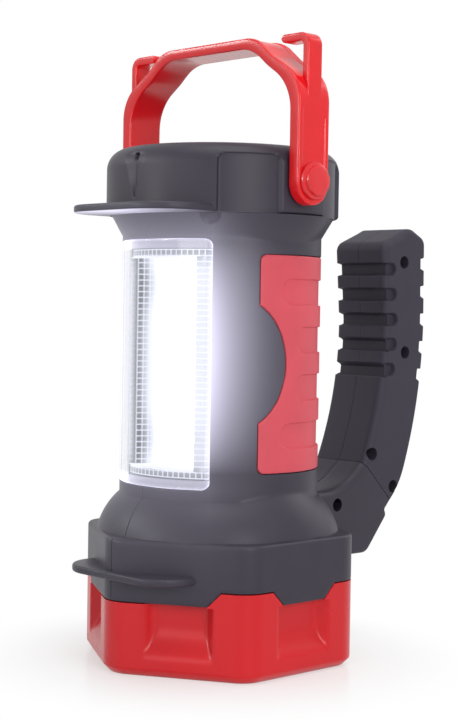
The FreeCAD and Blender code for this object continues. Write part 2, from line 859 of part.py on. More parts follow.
def top_cap():
    """Round lid with a plug for the neck, flats for the bail and bosses for its pivots."""
    drum = Part.makeCylinder(cap_radius, cap_height, Vector(0, 0, cap_level))
    rim = [edge for edge in drum.Edges if edge.BoundBox.ZMin > cap_top - 1e-4]
    drum = drum.makeFillet(cap_round, rim)
    foot = [edge for edge in drum.Edges if edge.BoundBox.ZMax < cap_level + 1e-4]
    drum = drum.makeFillet(cap_foot_round, foot)
    angles = [cap_recess_angle, 180 - cap_recess_angle, -cap_recess_angle, cap_recess_angle - 180]
    drum = drum.cut([cap_recess(angle) for angle in angles] + cap_mark())
    drum = drum.common(block(Vector(-pad, -FAR, 0), Vector(pad, FAR, FAR * 2)))
    drum = joined([drum, visor(top_visor_reach, top_visor_half, top_visor_corner, cap_level)])
    room = Part.makeCylinder(cap_room, cap_height - cap_floor - cap_wall, Vector(0, 0, cap_level + cap_floor))
    roof = [edge for edge in room.Edges if edge.BoundBox.ZMin > cap_top - cap_wall - 1e-4]
    room = room.makeFillet(cap_round - cap_wall, roof)
    middle = Vector(0, -bail_pivot_forward, pivot_level)
    boss = rod(pivot_boss_radius, middle + Vector(pad - pivot_depth - cap_wall, 0, 0),
               Vector(pivot_depth + cap_wall - mark_depth, 0, 0))
    room = room.cut([boss, mirrored(boss)])
    plug = Part.makeCylinder(plug_radius, cap_level - plug_level, Vector(0, 0, plug_level))
    well = Part.makeCylinder(plug_radius - plug_wall, FAR, Vector(0, 0, plug_level + cap_floor))
    well = well.common(Part.makeCylinder(FAR, cap_level + cap_floor, ORIGIN))
    seal = seal_ring()
    shaft = rod(pivot_radius, middle + Vector(pad - pivot_depth, 0, 0), Vector(FAR, 0, 0))
    return joined([drum, plug]).cut([room, well, seal, shaft, mirrored(shaft)])


def seal_ring():
    """Square ring in the cap's underside, above the neck's rim."""
    middle = (bore_radius + neck_radius) / 2
    half = cap_seal_width / 2
    return ring(middle - half, middle + half, cap_level - cap_seal_proud, cap_level + cap_seal_depth)


def contact_disc():
    """Plate under the plug that bridges the two columns of cells."""
    reach = math.hypot(column_side, column_back) + cell_nub_radius + contact_plate_margin
    return Part.makeCylinder(reach, contact_plate, Vector(0, 0, plug_level - contact_plate))


# Bail: a strap with rims, bent over two shoulders, and a hook on each shoulder
bail_outside = bail_inside + bail_leg
crest_level = pivot_level + bail_height
end_level = pivot_level - bail_end_drop


def offset_run(points, distances):
    """Runs moved to their right by their own distances, and where they meet again."""
    lines = []
    for number, distance in enumerate(distances):
        along = points[number + 1].sub(points[number]).normalize()
        inward = Vector(-along.z, 0, along.x) * distance
        lines.append((points[number] + inward, along))
    found = [lines[0][0]]
    for first, second in zip(lines, lines[1:]):
        gap = second[0] - first[0]
        cross = first[1].x * second[1].z - first[1].z * second[1].x
        reach = (gap.x * second[1].z - gap.z * second[1].x) / cross
        found.append(first[0] + first[1] * reach)
    last = points[-1].sub(points[-2]).normalize()
    found.append(points[-1] + Vector(-last.z, 0, last.x) * distances[-1])
    return found


def strap(inset, half_width, round_by):
    """Bent band between its outer and inner faces, both moved in by an inset."""
    foot = end_level - bail_width / 2
    outer = [Vector(bail_outside, 0, foot), Vector(bail_outside, 0, pivot_level + shoulder_rise),
             Vector(shoulder_end, 0, pivot_level + shoulder_top_rise), Vector(crest_half, 0, crest_level),
             Vector(0, 0, crest_level)]
    inner = offset_run(outer, [bail_leg, bail_slope, bail_slope, bail_top])
    outer = offset_run(outer, [inset] * 4)
    inner = offset_run(inner, [-inset] * 4)
    outside = outer[:-1] + [Vector(-point.x, 0, point.z) for point in reversed(outer[:-1])]
    inside = inner[:-1] + [Vector(-point.x, 0, point.z) for point in reversed(inner[:-1])]
    outer_rounds = [0, shoulder_round - inset, valley_round + inset, crest_round - inset]
    thinner = bail_slope - inset
    inner_rounds = [0, shoulder_round - thinner, valley_round + thinner, crest_round - thinner]
    corners = outside + list(reversed(inside))
    radii = outer_rounds + outer_rounds[::-1] + inner_rounds + inner_rounds[::-1]
    band = slab(corners, radii, Vector(0, -half_width, 0), Vector(0, 2 * half_width, 0))
    if round_by > 0:
        flat = [edge for edge in band.Edges if edge.BoundBox.YLength < 1e-4]
        border = [edge for edge in flat if edge.BoundBox.ZMax > foot + 1e-4]
        band = band.makeFillet(round_by, border)
    return band


def hook():
    """Tongue above the right shoulder that bends inwards at its top."""
    high = crest_level + hook_rise
    low = pivot_level + shoulder_rise - hook_root
    tip = bail_outside - hook_length
    face = bail_outside
    corners = [Vector(face, 0, low), Vector(face, 0, high), Vector(tip, 0, high),
               Vector(tip, 0, high - hook_thickness), Vector(face - hook_thickness, 0, high - hook_thickness),
               Vector(face - hook_thickness, 0, low)]
    radii = [0, hook_round, hook_tip_round, hook_tip_round, hook_round - hook_thickness, 0]
    return slab(corners, radii, Vector(0, -hook_width / 2, 0), Vector(0, hook_width, 0))


def bail():
    """Strap, hooks and pivot holes, moved to the pivot's line."""
    half = bail_width / 2
    core = strap(bail_rim_rise, half, 0)
    rim = strap(0, bail_rim / 2, bail_edge_round)
    rims = [rim.translated(Vector(0, move, 0)) for move in (half - bail_rim / 2, bail_rim / 2 - half)]
    tongue = hook()
    solid = joined([core] + rims + [tongue, mirrored(tongue)])
    ends = [rod(half, Vector(-FAR, 0, end_level), Vector(2 * FAR, 0, 0)),
            block(Vector(-FAR, -FAR, end_level), Vector(FAR, FAR, FAR * 2))]
    solid = solid.common(joined(ends))
    pads = [rod(half - bail_rim / 2, Vector(place, 0, pivot_level), Vector(bail_leg, 0, 0))
            for place in (bail_inside, -bail_outside)]
    hole = rod(pivot_radius + pivot_fit, Vector(-FAR, 0, pivot_level), Vector(2 * FAR, 0, 0))
    solid = joined([solid] + pads).cut(hole)
    solid.translate(Vector(0, -bail_pivot_forward, 0))
    return solid


def bail_pivots():
    """Two pins with stepped heads in the cap's bosses, through the holes of the bail."""
    middle = Vector(0, -bail_pivot_forward, pivot_level)
    face = bail_outside + running_gap
    root = pad - pivot_depth
    shaft = rod(pivot_radius, middle + Vector(root, 0, 0), Vector(face - root, 0, 0))
    flange = rod(pivot_flange_radius, middle + Vector(face, 0, 0), Vector(pivot_flange, 0, 0))
    head = rod(pivot_head_radius, middle + Vector(face, 0, 0), Vector(pivot_head, 0, 0))
    brow = [edge for edge in head.Edges if edge.BoundBox.XMin > face + 1e-4]
    head = head.makeFillet(pivot_head_round, brow)
    pin = joined([shaft, flange, head])
    return Part.makeCompound([pin, mirrored(pin)])


# Pistol grip: two halves on a swivel post. Each face is an arc from the joint up to the bend, then straight.
bend_level = joint_level + grip_bend_rise
inner_bend = side(joint_back + grip_inner_back, bend_level)
outer_bend = side(joint_back + grip_inner_back + grip_depth, bend_level)
inner_foot = side(joint_back - joint_reach, joint_level + joint_reach)
outer_foot = side(joint_back + joint_reach, joint_level - joint_reach)
outer_knee = side(joint_back + grip_knee_back, joint_level + grip_knee_rise)
inner_head = side(inner_bend.y - grip_inner_lean, grip_top - grip_front_drop)
outer_head = side(outer_bend.y - grip_outer_lean, grip_top - grip_back_drop)


def bowed(foot, bend, bow):
    """Middle point of an arc that bows backwards from its chord."""
    along = bend.sub(foot).normalize()
    return (foot + bend) * 0.5 + side(along.z, -along.y) * bow


def face_back(foot, bend, bow, level):
    """How far back a grip face lies at a level: on its arc, or on the straight run above the bend."""
    if level > bend.z:
        return bend.y
    arc = Part.Arc(foot, bowed(foot, bend, bow), bend).toShape().Curve
    return arc.Center.y + math.sqrt(arc.Radius ** 2 - (level - arc.Center.z) ** 2)


def grip_form(front, back, half):
    """Grip from the side, its front face moved back by one distance, its back and roof in by another."""
    behind = side(front, 0)
    ahead = side(-back, 0)
    down = side(0, -back)
    past = side(-grip_round * 2, -grip_round * 2)
    peak = side(outer_head.y - grip_peak, grip_top) + down
    roof = [inner_head + behind + down, peak, outer_head + ahead + down]
    runs = [inner_bend + behind] + roof + [outer_bend + ahead]
    ends = [outer_foot + ahead, outer_foot + ahead + past, inner_foot + behind + past, inner_foot + behind]
    straights = list(zip(runs, runs[1:])) + list(zip(ends, ends[1:]))
    edges = [Part.LineSegment(*pair).toShape() for pair in straights]
    knee = outer_knee + ahead
    inside = bowed(inner_foot, inner_bend, grip_inner_bow) + behind
    outside = bowed(outer_knee, outer_bend, grip_outer_bow) + ahead
    below = bowed(outer_foot, outer_knee, grip_heel_bow) + ahead
    edges.append(Part.Arc(ends[-1], inside, runs[0]).toShape())
    edges.append(Part.Arc(runs[-1], outside, knee).toShape())
    edges.append(Part.Arc(knee, below, ends[0]).toShape())
    face = Part.Face(Part.Wire(Part.__sortEdges__(edges)))
    face.translate(Vector(-half, 0, 0))
    form = face.extrude(Vector(2 * half, 0, 0))
    across = [edge for edge in form.Edges if edge.BoundBox.XLength > half]
    brows = [edge for edge in across if edge.BoundBox.ZMin > bend_level + 1e-4]
    return form.makeFillet(grip_brow_round, brows)


def grip_grooves():
    """Grooves across the two faces, with round ends on the sides of the inner face."""
    tools = []
    half = grip_groove / 2
    ends = [0, half * ROUND_END, half * ROUND_END, 0]
    for number in range(grip_groove_count):
        level = joint_level + inner_groove_rise - number * inner_groove_pitch
        face = face_back(inner_foot, inner_bend, grip_inner_bow, level)
        ahead = face - grip_groove_reach
        reach = face + grip_groove_reach
        pill = [side(ahead, level - half), side(reach, level - half),
                side(reach, level + half), side(ahead, level + half)]
        for start in (-grip_half - PAST, grip_half - grip_groove_side):
            tools.append(slab(pill, ends, Vector(start, 0, 0), Vector(grip_groove_side + PAST, 0, 0)))
        floor = face + grip_groove_depth
        tools.append(block(Vector(-FAR, ahead, level - half), Vector(FAR, floor, level + half)))
        level = joint_level + outer_groove_rise - number * outer_groove_pitch
        floor = face_back(outer_knee, outer_bend, grip_outer_bow, level) - grip_groove_depth
        behind = floor + grip_groove_reach
        tools.append(block(Vector(-FAR, floor, level - half), Vector(FAR, behind, level + half)))
    return tools


def grip_halves():
    """Right and left halves with bosses for the screws and the seat of the post."""
    form = grip_form(0, 0, grip_half)
    form = form.makeFillet(grip_back_round, edges_at(form, grip_half) + edges_at(form, -grip_half))
    front = grip_form(0, -2 * grip_round, grip_half)
    front = front.makeFillet(grip_round, edges_at(front, grip_half) + edges_at(front, -grip_half))
    form = form.common(front)
    form = form.cut(grip_grooves())
    room = grip_wall + grip_groove_depth
    hollow = grip_form(room, room, grip_half - grip_wall)
    hollow = hollow.common(above_joint(post_up + grip_wall))
    width = Vector(2 * grip_half, 0, 0)
    bosses = [rod(boss_radius, Vector(-grip_half, y, z), width) for y, z in grip_screw_places]
    form = form.common(above_joint(joint_gap / 2)).cut(hollow.cut(bosses))
    flange = joint_rod(post_flange_radius, post_flange_up, post_flange_up + post_flange_thickness)
    form = form.cut([joint_rod(post_radius, -PAST, post_up), flange])
    form = form.cut([screw_holes(y, z) for y, z in grip_screw_places])
    right = form.common(block(Vector(0, 0, 0), Vector(FAR, FAR, FAR * 2)))
    left = form.common(block(Vector(-FAR, 0, 0), Vector(0, FAR, FAR * 2)))
    return right, left


def swivel_post():
    """Post held by its flange between the grip's halves, running in the stub."""
    shaft = joint_rod(post_radius, -post_down + washer_thickness, post_up)
    flange = joint_rod(post_flange_radius, post_flange_up, post_flange_up + post_flange_thickness)
    pilot = joint_rod(screw_radius, -post_down, -post_down + swivel_screw_length)
    return joined([shaft, flange]).cut(pilot)


def swivel_washer():
    """Washer that keeps the post in the stub."""
    plate = joint_rod(post_flange_radius, -post_down, -post_down + washer_thickness)
    return plate.cut(joint_rod(screw_radius, -post_down, -post_down + washer_thickness))


def swivel_screw():
    """Screw in the post's end."""
    head = joint_rod(screw_head_radius, -post_down - screw_head_height, -post_down)
    shank = joint_rod(screw_radius, -post_down, -post_down + swivel_screw_length)
    return joined([head, shank])


os.makedirs("parts", exist_ok=True)
right_shell, left_shell = shells()
right_half, left_half = grip_halves()
panel_shape = grip_panel()
save(right_shell, "right_shell")
save(left_shell, "left_shell")
save(base_bezel(), "base_bezel")
save(Part.makeCylinder(lamp_room, spot_lens_thickness, Vector(0, 0, spot_lens_level)), "spot_lens")
save(ring(lamp_radius - lens_seat_width, lamp_room, seal_level, flange_level), "lens_seal")
save(spot_reflector(), "spot_reflector")
save(Part.makeCylinder(spot_board_radius, board_thickness, Vector(0, 0, spot_board_level)), "spot_led_board")
save(spot_led(), "spot_led")
save(heat_sink(), "heat_sink")
save(lantern_lens(), "lantern_lens")
save(lantern_reflector(), "lantern_reflector")
save(led_board(), "lantern_led_board")
save(emitters(), "lantern_leds")
save(panel_shape, "right_grip_panel")
save(mirrored(panel_shape), "left_grip_panel")
save(battery_holder(), "battery_holder")
save(cells(), "battery_cells")
save(battery_contacts(), "battery_contacts")
save(driver_board(), "driver_board")
save(switch_body(), "switch_body")
save(power_button(), "power_button")
save(Part.makeCompound([screw(y, z) for y, z in [stub_screw] + tube_screws]), "shell_screws")
save(top_cap(), "top_cap")
save(seal_ring(), "cap_seal")
save(contact_disc(), "cap_contact_plate")
save(bail_pivots(), "bail_pivots")
save(bail(), "bail")
save(right_half, "right_grip_half")
save(left_half, "left_grip_half")
save(Part.makeCompound([screw(y, z) for y, z in grip_screw_places]), "grip_screws")
save(swivel_post(), "swivel_post")
save(swivel_washer(), "swivel_washer")
save(swivel_screw(), "swivel_screw")
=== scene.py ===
import math

import bmesh
import bpy
import numpy as np
from mathutils import Matrix, Vector


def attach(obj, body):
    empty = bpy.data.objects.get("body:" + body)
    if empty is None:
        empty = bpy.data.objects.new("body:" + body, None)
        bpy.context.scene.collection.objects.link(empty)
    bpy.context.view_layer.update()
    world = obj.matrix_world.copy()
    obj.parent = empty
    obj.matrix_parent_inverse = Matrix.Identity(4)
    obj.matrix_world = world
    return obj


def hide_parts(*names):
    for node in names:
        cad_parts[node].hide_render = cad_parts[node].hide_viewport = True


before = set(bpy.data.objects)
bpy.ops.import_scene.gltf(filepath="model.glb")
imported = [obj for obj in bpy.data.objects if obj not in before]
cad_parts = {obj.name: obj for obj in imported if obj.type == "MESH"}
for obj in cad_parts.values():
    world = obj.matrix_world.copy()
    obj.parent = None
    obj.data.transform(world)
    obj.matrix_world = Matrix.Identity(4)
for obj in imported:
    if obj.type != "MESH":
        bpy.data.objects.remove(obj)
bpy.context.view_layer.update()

# Sizes in this file are millimetres and degrees, as on the drawing; a mesh comes to metres when it is made.
# X is across, -Y is the front with the light window, Z is up, and turns count from the front towards +X.
scene = bpy.context.scene
scene.view_settings.view_transform = "Standard"


# Camera: a plain long lens at the photograph's viewing angle, right of the front corner and a little above
# the middle of the lantern.
camera_turn = 46.961
camera_yaw = -0.334
camera_pitch = 1.864
camera_roll = 0.92
camera_distance = 692.067
camera_height = 151.216
camera_lens = 79.638

turn = math.radians(camera_turn)
aim = math.radians(camera_turn + camera_yaw)
pitch = math.radians(camera_pitch)
roll = math.radians(camera_roll)
ahead = Vector((-math.sin(aim) * math.cos(pitch), math.cos(aim) * math.cos(pitch), -math.sin(pitch)))
level_right = Vector((math.cos(aim), math.sin(aim), 0))
level_up = level_right.cross(ahead)
right = level_right * math.cos(roll) + level_up * math.sin(roll)
up = level_up * math.cos(roll) - level_right * math.sin(roll)
camera = bpy.data.objects.new("camera", bpy.data.cameras.new("camera"))
camera.data.lens = camera_lens
place = Matrix((right, up, -ahead)).transposed().to_4x4()
stand = Vector((math.sin(turn) * camera_distance, -math.cos(turn) * camera_distance, camera_height))
place.translation = stand / 1000
camera.matrix_world = place
scene.collection.objects.link(camera)
scene.camera = camera


# Bezel: the red six-sided ring that the lantern stands on, moulded in glossy plastic. It is pushed into the
# skirt from below; its teeth meet the skirt's tongues, and each flat has a finger scoop with a sloping sill.
hex_apothem = 53.24
hex_corner = 13.1
base_height = 30.5
tooth_rise = 6.2
parting_gap = 0.4
tongue_half = 12.0
foot_chamfer = 3.0
wall_low = 4.2
scoop_half = 14.8
scoop_depth = 5.0
scoop_sill = 9.0
scoop_slope = 7.6
scoop_taper = 3.3
scoop_corner_blend = 2.0
scoop_floor_blend = 3.0
scoop_brow_blend = 1.4
lamp_radius = 45.0
lens_seat_width = 3.0
lens_seat_height = 5.0
lens_seat_round = 0.7
bezel_bore = 46.5
bezel_lip = (0.1, 0.4)
SIXTH = math.pi / 3
WELD = 2e-6
SHARP_EDGE = math.radians(38)


def lines(start, end, step, marks=(), beside=(-0.6, -0.25, 0.0, 0.25, 0.6)):
    """Values from start to end about a step apart, with a close group of values beside each mark."""
    plain = np.linspace(start, end, max(math.ceil((end - start) / step), 1) + 1)
    close = np.add.outer(np.array(marks, dtype=float), np.array(beside)).ravel()
    close = close[(close > start) & (close < end)]
    if close.size:
        gaps = np.abs(plain[:, None] - close[None, :]).min(axis=1)
        gaps[[0, -1]] = step
        plain = plain[gaps > 0.35 * step]
    return np.unique(np.round(np.concatenate([plain, close]), 5))


def soft_min(first, second, blend):
    """The lesser of two heights, rounded over a blend width where they cross."""
    share = np.clip(0.5 + 0.5 * (second - first) / blend, 0, 1)
    return second + (first - second) * share - blend * share * (1 - share)


def soft_max(first, second, blend):
    """The greater of two heights, rounded where they cross."""
    return -soft_min(-first, -second, blend)


def surface(points, keep=None):
    """Corners and four-sided faces of a grid of points, rows by columns; a mask keeps some of its faces."""
    rows, columns = points.shape[:2]
    index = np.arange(rows * columns).reshape(rows, columns)
    quads = np.stack([index[:-1, :-1], index[:-1, 1:], index[1:, 1:], index[1:, :-1]], axis=-1)
    return points.reshape(-1, 3), quads.reshape(-1, 4) if keep is None else quads[keep]


def around(reach, turn, level):
    """Points at a distance from the axis, a turn from the front and a level."""
    reach, turn, level = np.broadcast_arrays(reach, turn, level)
    return np.stack([reach * np.sin(turn), -reach * np.cos(turn), level], axis=-1)


def make_piece(name, surfaces, material, body, nodes, wall=0.0, glow=None):
    """Object from several surfaces: corners that meet are merged and faces turned outwards.

    A wall is thickened inwards. A glow function of the points is kept as an attribute for the material.
    """
    corners = np.concatenate([points for points, quads in surfaces]) / 1000
    starts = np.cumsum([0] + [len(points) for points, quads in surfaces])
    quads = np.concatenate([quads + start for (points, quads), start in zip(surfaces, starts)])
    mesh = bpy.data.meshes.new(name)
    mesh.from_pydata(corners.tolist(), [], quads.tolist())
    if glow is not None:
        values = glow(corners * 1000).astype(np.float32)
        mesh.attributes.new("glow", "FLOAT", "POINT").data.foreach_set("value", values)
    shape = bmesh.new()
    shape.from_mesh(mesh)
    bmesh.ops.remove_doubles(shape, verts=shape.verts, dist=WELD)
    bmesh.ops.dissolve_degenerate(shape, edges=shape.edges, dist=WELD / 4)
    bmesh.ops.recalc_face_normals(shape, faces=shape.faces)
    shape.to_mesh(mesh)
    shape.free()
    mesh.polygons.foreach_set("use_smooth", np.ones(len(mesh.polygons), dtype=bool))
    mesh.set_sharp_from_angle(angle=SHARP_EDGE)
    mesh.materials.append(material)
    piece = bpy.data.objects.new(name, mesh)
    scene.collection.objects.link(piece)
    if wall:
        thickness = piece.modifiers.new("wall", "SOLIDIFY")
        thickness.thickness = wall / 1000
        thickness.offset = -1
    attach(piece, body)
    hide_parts(*nodes)


def tone(red, green, blue):
    """Linear colour of a shade that is written as it looks on a screen, 0 to 255."""
    shade = np.array([red, green, blue]) / 255
    linear = np.where(shade > 0.04045, ((shade + 0.055) / 1.055) ** 2.4, shade / 12.92)
    return (*linear.tolist(), 1.0)


def add_node(tree, kind, inputs=None, **settings):
    """New shader node with its settings and the values of its unlinked inputs."""
    node = tree.nodes.new("ShaderNode" + kind)
    for name, value in settings.items():
        setattr(node, name, value)
    for name, value in (inputs or {}).items():
        node.inputs[name].default_value = value
    return node


def join(tree, *pairs):
    """Links outputs to inputs, pair by pair."""
    for start, end in pairs:
        tree.links.new(start, end)


def finish(name, colour, roughness, grain=0.5, depth=0.012, clouds=18.0, spread=0.08, **sockets):
    """Moulded finish: a colour with faint clouds, gloss that follows them, and fine grain as bump."""
    material = bpy.data.materials.new(name)
    material.use_nodes = True
    tree = material.node_tree
    shader = tree.nodes["Principled BSDF"]
    coords = add_node(tree, "TexCoord").outputs["Object"]
    cloud = add_node(tree, "TexNoise", {"Scale": 1000 / clouds, "Detail": 4})
    shades = add_node(tree, "ValToRGB")
    for stop, place, share in zip(shades.color_ramp.elements, (0.3, 0.7), (1 - spread, 1 + spread)):
        stop.position = place
        stop.color = (*[min(part * share, 1) for part in colour[:3]], 1)
    gloss = add_node(tree, "MapRange", {"To Min": max(roughness - 0.05, 0.02), "To Max": roughness + 0.05})
    fine = add_node(tree, "TexNoise", {"Scale": 1000 / grain, "Detail": 2})
    bump = add_node(tree, "Bump", {"Distance": depth / 1000})
    join(tree, (coords, cloud.inputs["Vector"]), (cloud.outputs["Fac"], shades.inputs["Fac"]),
         (shades.outputs["Color"], shader.inputs["Base Color"]),
         (cloud.outputs["Fac"], gloss.inputs["Value"]), (gloss.outputs["Result"], shader.inputs["Roughness"]),
         (coords, fine.inputs["Vector"]), (fine.outputs["Fac"], bump.inputs["Height"]),
         (bump.outputs["Normal"], shader.inputs["Normal"]))
    for socket, value in sockets.items():
        shader.inputs[socket.replace("_", " ")].default_value = value
    return material


def hex_reach(turn, inset):
    """Distance from the axis to a six-sided outline, a corner in front: a flat's line or a corner's arc."""
    apothem = hex_apothem - inset
    corner = hex_corner - inset
    off = np.abs((turn + SIXTH / 2) % SIXTH - SIXTH / 2)
    centre = (apothem - corner) / math.cos(SIXTH / 2)
    flat = apothem / np.cos(SIXTH / 2 - off)
    arc = centre * np.cos(off) + np.sqrt(np.maximum(corner ** 2 - (centre * np.sin(off)) ** 2, 0))
    end = np.arctan2(corner * math.sin(SIXTH / 2), centre + corner * math.cos(SIXTH / 2))
    return np.where(off < end, arc, flat)


def along_flat(turn):
    """Distance along a flat from its middle, where a ray at this turn meets it."""
    return hex_apothem * np.tan(turn % SIXTH - SIXTH / 2)


def parting_rise(turn):
    """How far the parting line rises: teeth with slanted ends at the corners, but none at the front one."""
    rise = np.clip(np.abs(along_flat(turn)) - tongue_half, 0, tooth_rise)
    front = np.cos(turn) > math.cos(SIXTH / 2) - 1e-9
    return np.where(front, 0, rise)


def scoop(turn, level):
    """Depth of the finger scoop: the least of its slanted sides, its sloping sill and its floor."""
    sides = scoop_depth * (scoop_half - np.abs(along_flat(turn))) / scoop_taper
    sill = scoop_depth * (level - scoop_sill) / scoop_slope
    slopes = soft_min(sides, sill, scoop_corner_blend)
    depth = soft_min(slopes, scoop_depth + 0 * slopes, scoop_floor_blend)
    return soft_max(depth, 0 * depth, scoop_brow_blend)


flat_places = (tongue_half, scoop_half, tongue_half + tooth_rise)
flat_marks = [math.degrees(math.atan(place / hex_apothem)) for place in flat_places]
turn_marks = [60 * flat + 30 + sign * mark for flat in range(6) for mark in flat_marks for sign in (-1, 1)]
bezel_turn = np.radians(lines(0, 360, 0.75, turn_marks, (-0.3, 0, 0.3)))[None, :]
foot_shares = np.array([(1.35, 0.0), (1.07, 0.02), (0.94, 0.08), (0.08, 0.94), (0.02, 1.07), (0.0, 1.35)])
foot_rows = foot_shares[:, :, None] * foot_chamfer
bezel_top = base_height - parting_gap
wall_level = lines(wall_low, bezel_top, 0.8, (scoop_sill, scoop_sill + scoop_slope))[:, None]
rise = parting_rise(bezel_turn)
tooth_share = np.linspace(0, 1, 9)[:, None]
tooth_level = bezel_top + rise * tooth_share
lip_inset = np.array(bezel_lip)[:, None]
lip_level = bezel_top + rise + 0 * lip_inset
inset_rows = np.concatenate([foot_rows[:, 0], 0 * wall_level, 0 * tooth_share, lip_inset]) + 0 * bezel_turn
plain_rows = np.concatenate([foot_rows[:, 1], wall_level]) + 0 * bezel_turn
level_rows = np.concatenate([plain_rows, tooth_level, lip_level])
hollow = scoop(bezel_turn, level_rows)
tooth_rows = np.arange(len(level_rows))[:, None] >= len(plain_rows)
hollow = np.where(tooth_rows & (rise > 0), 0, hollow)
bezel_wall = around(hex_reach(bezel_turn, inset_rows), bezel_turn, level_rows)
flat_turn = np.floor(bezel_turn / SIXTH) * SIXTH + SIXTH / 2
bezel_wall = bezel_wall - hollow[..., None] * around(1.0, flat_turn, 0.0)
mouth = lamp_radius - lens_seat_width
inner_profile = np.array([(bezel_bore, lens_seat_height), (mouth, lens_seat_height), (mouth, lens_seat_round),
                          (mouth + 0.2, 0.2), (mouth + lens_seat_round, 0.0)])
inner_top = around(bezel_bore, bezel_turn, bezel_top + rise)
inner_rows = around(inner_profile[:, :1], bezel_turn, inner_profile[:, 1:])
bezel_points = np.concatenate([bezel_wall, inner_top, inner_rows, bezel_wall[:1]])
red_gloss = finish("red_gloss", tone(208, 26, 34), 0.28, grain=0.8, depth=0.004, clouds=45, spread=0.03,
                   Specular_IOR_Level=0.3)
make_piece("bezel", [surface(bezel_points)], red_gloss, "housing", ["base_bezel"])


# Spot lamp: a clear pane on the bezel's seat with a rubber ring behind it, and a bright bowl that ends at a
# small board with one emitter. A finned block takes its heat away. All of it is clamped inside the bezel.
spot_lens_thickness = 2.5
pane_bevel = 0.3
seal_thickness = 1.5
bowl_height = 37.0
bowl_neck = 7.0
bowl_wall = 1.5
lamp_gap = 0.15


def turned(profile, step=4, origin=(0, 0, 0), axis="Z"):
    """Surface of revolution: a profile of (radius, distance along the axis), carried round the axis."""
    profile = np.array(profile, dtype=float)
    turn = np.radians(np.arange(0, 360 + step, step))[None, :]
    points = around(profile[:, :1], turn, profile[:, 1:])
    order = {"Z": [0, 1, 2], "X": [2, 0, 1], "Y": [0, 2, 1]}[axis]
    return surface(points[..., order] + np.array(origin))


def arc_through(first, second, third, count=24):
    """Points on the circle through three points, from the first to the third."""
    first, second, third = (np.array(point, dtype=float) for point in (first, second, third))
    rows = 2 * np.array([second - first, third - first])
    centre = np.linalg.solve(rows, np.array([second @ second - first @ first, third @ third - first @ first]))
    angles = np.unwrap([math.atan2(*(point - centre)[::-1]) for point in (first, second, third)])
    sweep = np.linspace(angles[0], angles[2], count)
    return centre + np.linalg.norm(first - centre) * np.stack([np.cos(sweep), np.sin(sweep)], axis=1)


pane_low = lens_seat_height
pane_high = pane_low + spot_lens_thickness
pane_edge = lamp_radius - lamp_gap
clear_plastic = finish("clear_plastic", tone(240, 244, 250), 0.06, grain=2.0, depth=0.002, spread=0.01,
                       Transmission_Weight=1.0, IOR=1.49)
pane_profile = [(0, pane_low), (pane_edge - pane_bevel, pane_low), (pane_edge, pane_low + pane_bevel),
                (pane_edge, pane_high - pane_bevel), (pane_edge - pane_bevel, pane_high), (0, pane_high)]
make_piece("spot_pane", [turned(pane_profile)], clear_plastic, "housing", ["spot_lens"])

rim_level = pane_high + seal_thickness
bowl_top = rim_level + bowl_height
bowl_rim = pane_edge - lens_seat_width
bowl_middle = (bowl_rim + bowl_neck) / 2
bowl_share = (bowl_middle ** 2 - bowl_neck ** 2) / (bowl_rim ** 2 - bowl_neck ** 2)
bowl_inside = arc_through((bowl_rim, rim_level), (bowl_middle, bowl_top - bowl_height * bowl_share),
                          (bowl_neck, bowl_top))
bowl_outside = bowl_inside[::-1] + np.array([bowl_wall, 0])
flange = [(pane_edge, rim_level + bowl_wall), (pane_edge, rim_level), (bowl_rim, rim_level)]
chrome = finish("bright_coating", tone(225, 227, 230), 0.08, grain=3.0, depth=0.003, spread=0.03,
                Metallic=1.0)
make_piece("spot_bowl", [turned(np.concatenate([bowl_inside, bowl_outside, flange]))], chrome, "housing",
           ["spot_reflector"])


# Half shells: skirt, dome, tube, neck, lower visor and grip arm, moulded in black satin plastic as a right
# and a left half that meet on the middle plane. Screws hold them together; window, panels and button sit in
# their cut-outs.
body_radius = 43.0
shell_wall = 3.0
skirt_flange = 6.0
rim_top = 56.0
rim_round = 1.5
dome_radius = 52.44
dome_crown = 1.35
tube_low = 71.4
tube_high = 181.6
neck_top = 189.9
neck_radius = 47.9
neck_lip_insets = (2.4, 7.0)
lobe_radius = 40.0
lobe_offset = 14.0
lobe_rise = 3.1
lobe_blend = 0.5
dimple_radius = 6.0
dimple_reach = 50.77
dimple_turn = math.radians(41.0)
dimple_level = 187.0
dimple_blend = 0.4
window_half = 28.8
window_low = 76.3
window_high = 179.6
window_corner = 3.0
panel_low = 83.0
panel_high = 173.6
panel_front = -15.7
panel_back = 37.2
panel_corner = 3.0
bite_radius = 29.1
bite_centre = -31.8
button_hole = 7.0
button_level = 160.0
seam_round = 0.4
cut_round = 0.5


def ramp(value, width):
    """Soft step from 0 to 1, centred on zero and a width wide."""
    share = np.clip(value / width + 0.5, 0, 1)
    return share * share * (3 - 2 * share)


def edge_drop(distance, radius):
    """How far a face drops at a distance from its rounded edge: the height of a quarter circle."""
    share = np.clip(1 - distance / radius, 0, 1)
    return radius * (1 - np.sqrt(1 - share * share))


def rounded_box(across, rise, half_across, half_rise, corner):
    """Distance to a rectangle with round corners, negative inside it."""
    over = np.abs(across) - half_across + corner
    above = np.abs(rise) - half_rise + corner
    outside = np.hypot(np.maximum(over, 0), np.maximum(above, 0))
    return outside + np.minimum(np.maximum(over, above), 0) - corner


def window_edge(turn, level):
    """Distance to the light window's outline, seen from the front, negative inside it."""
    middle = (window_low + window_high) / 2
    across = np.where(np.cos(turn) > 0, body_radius * np.sin(turn), 2 * body_radius)
    return rounded_box(across, level - middle, window_half, (window_high - window_low) / 2, window_corner)


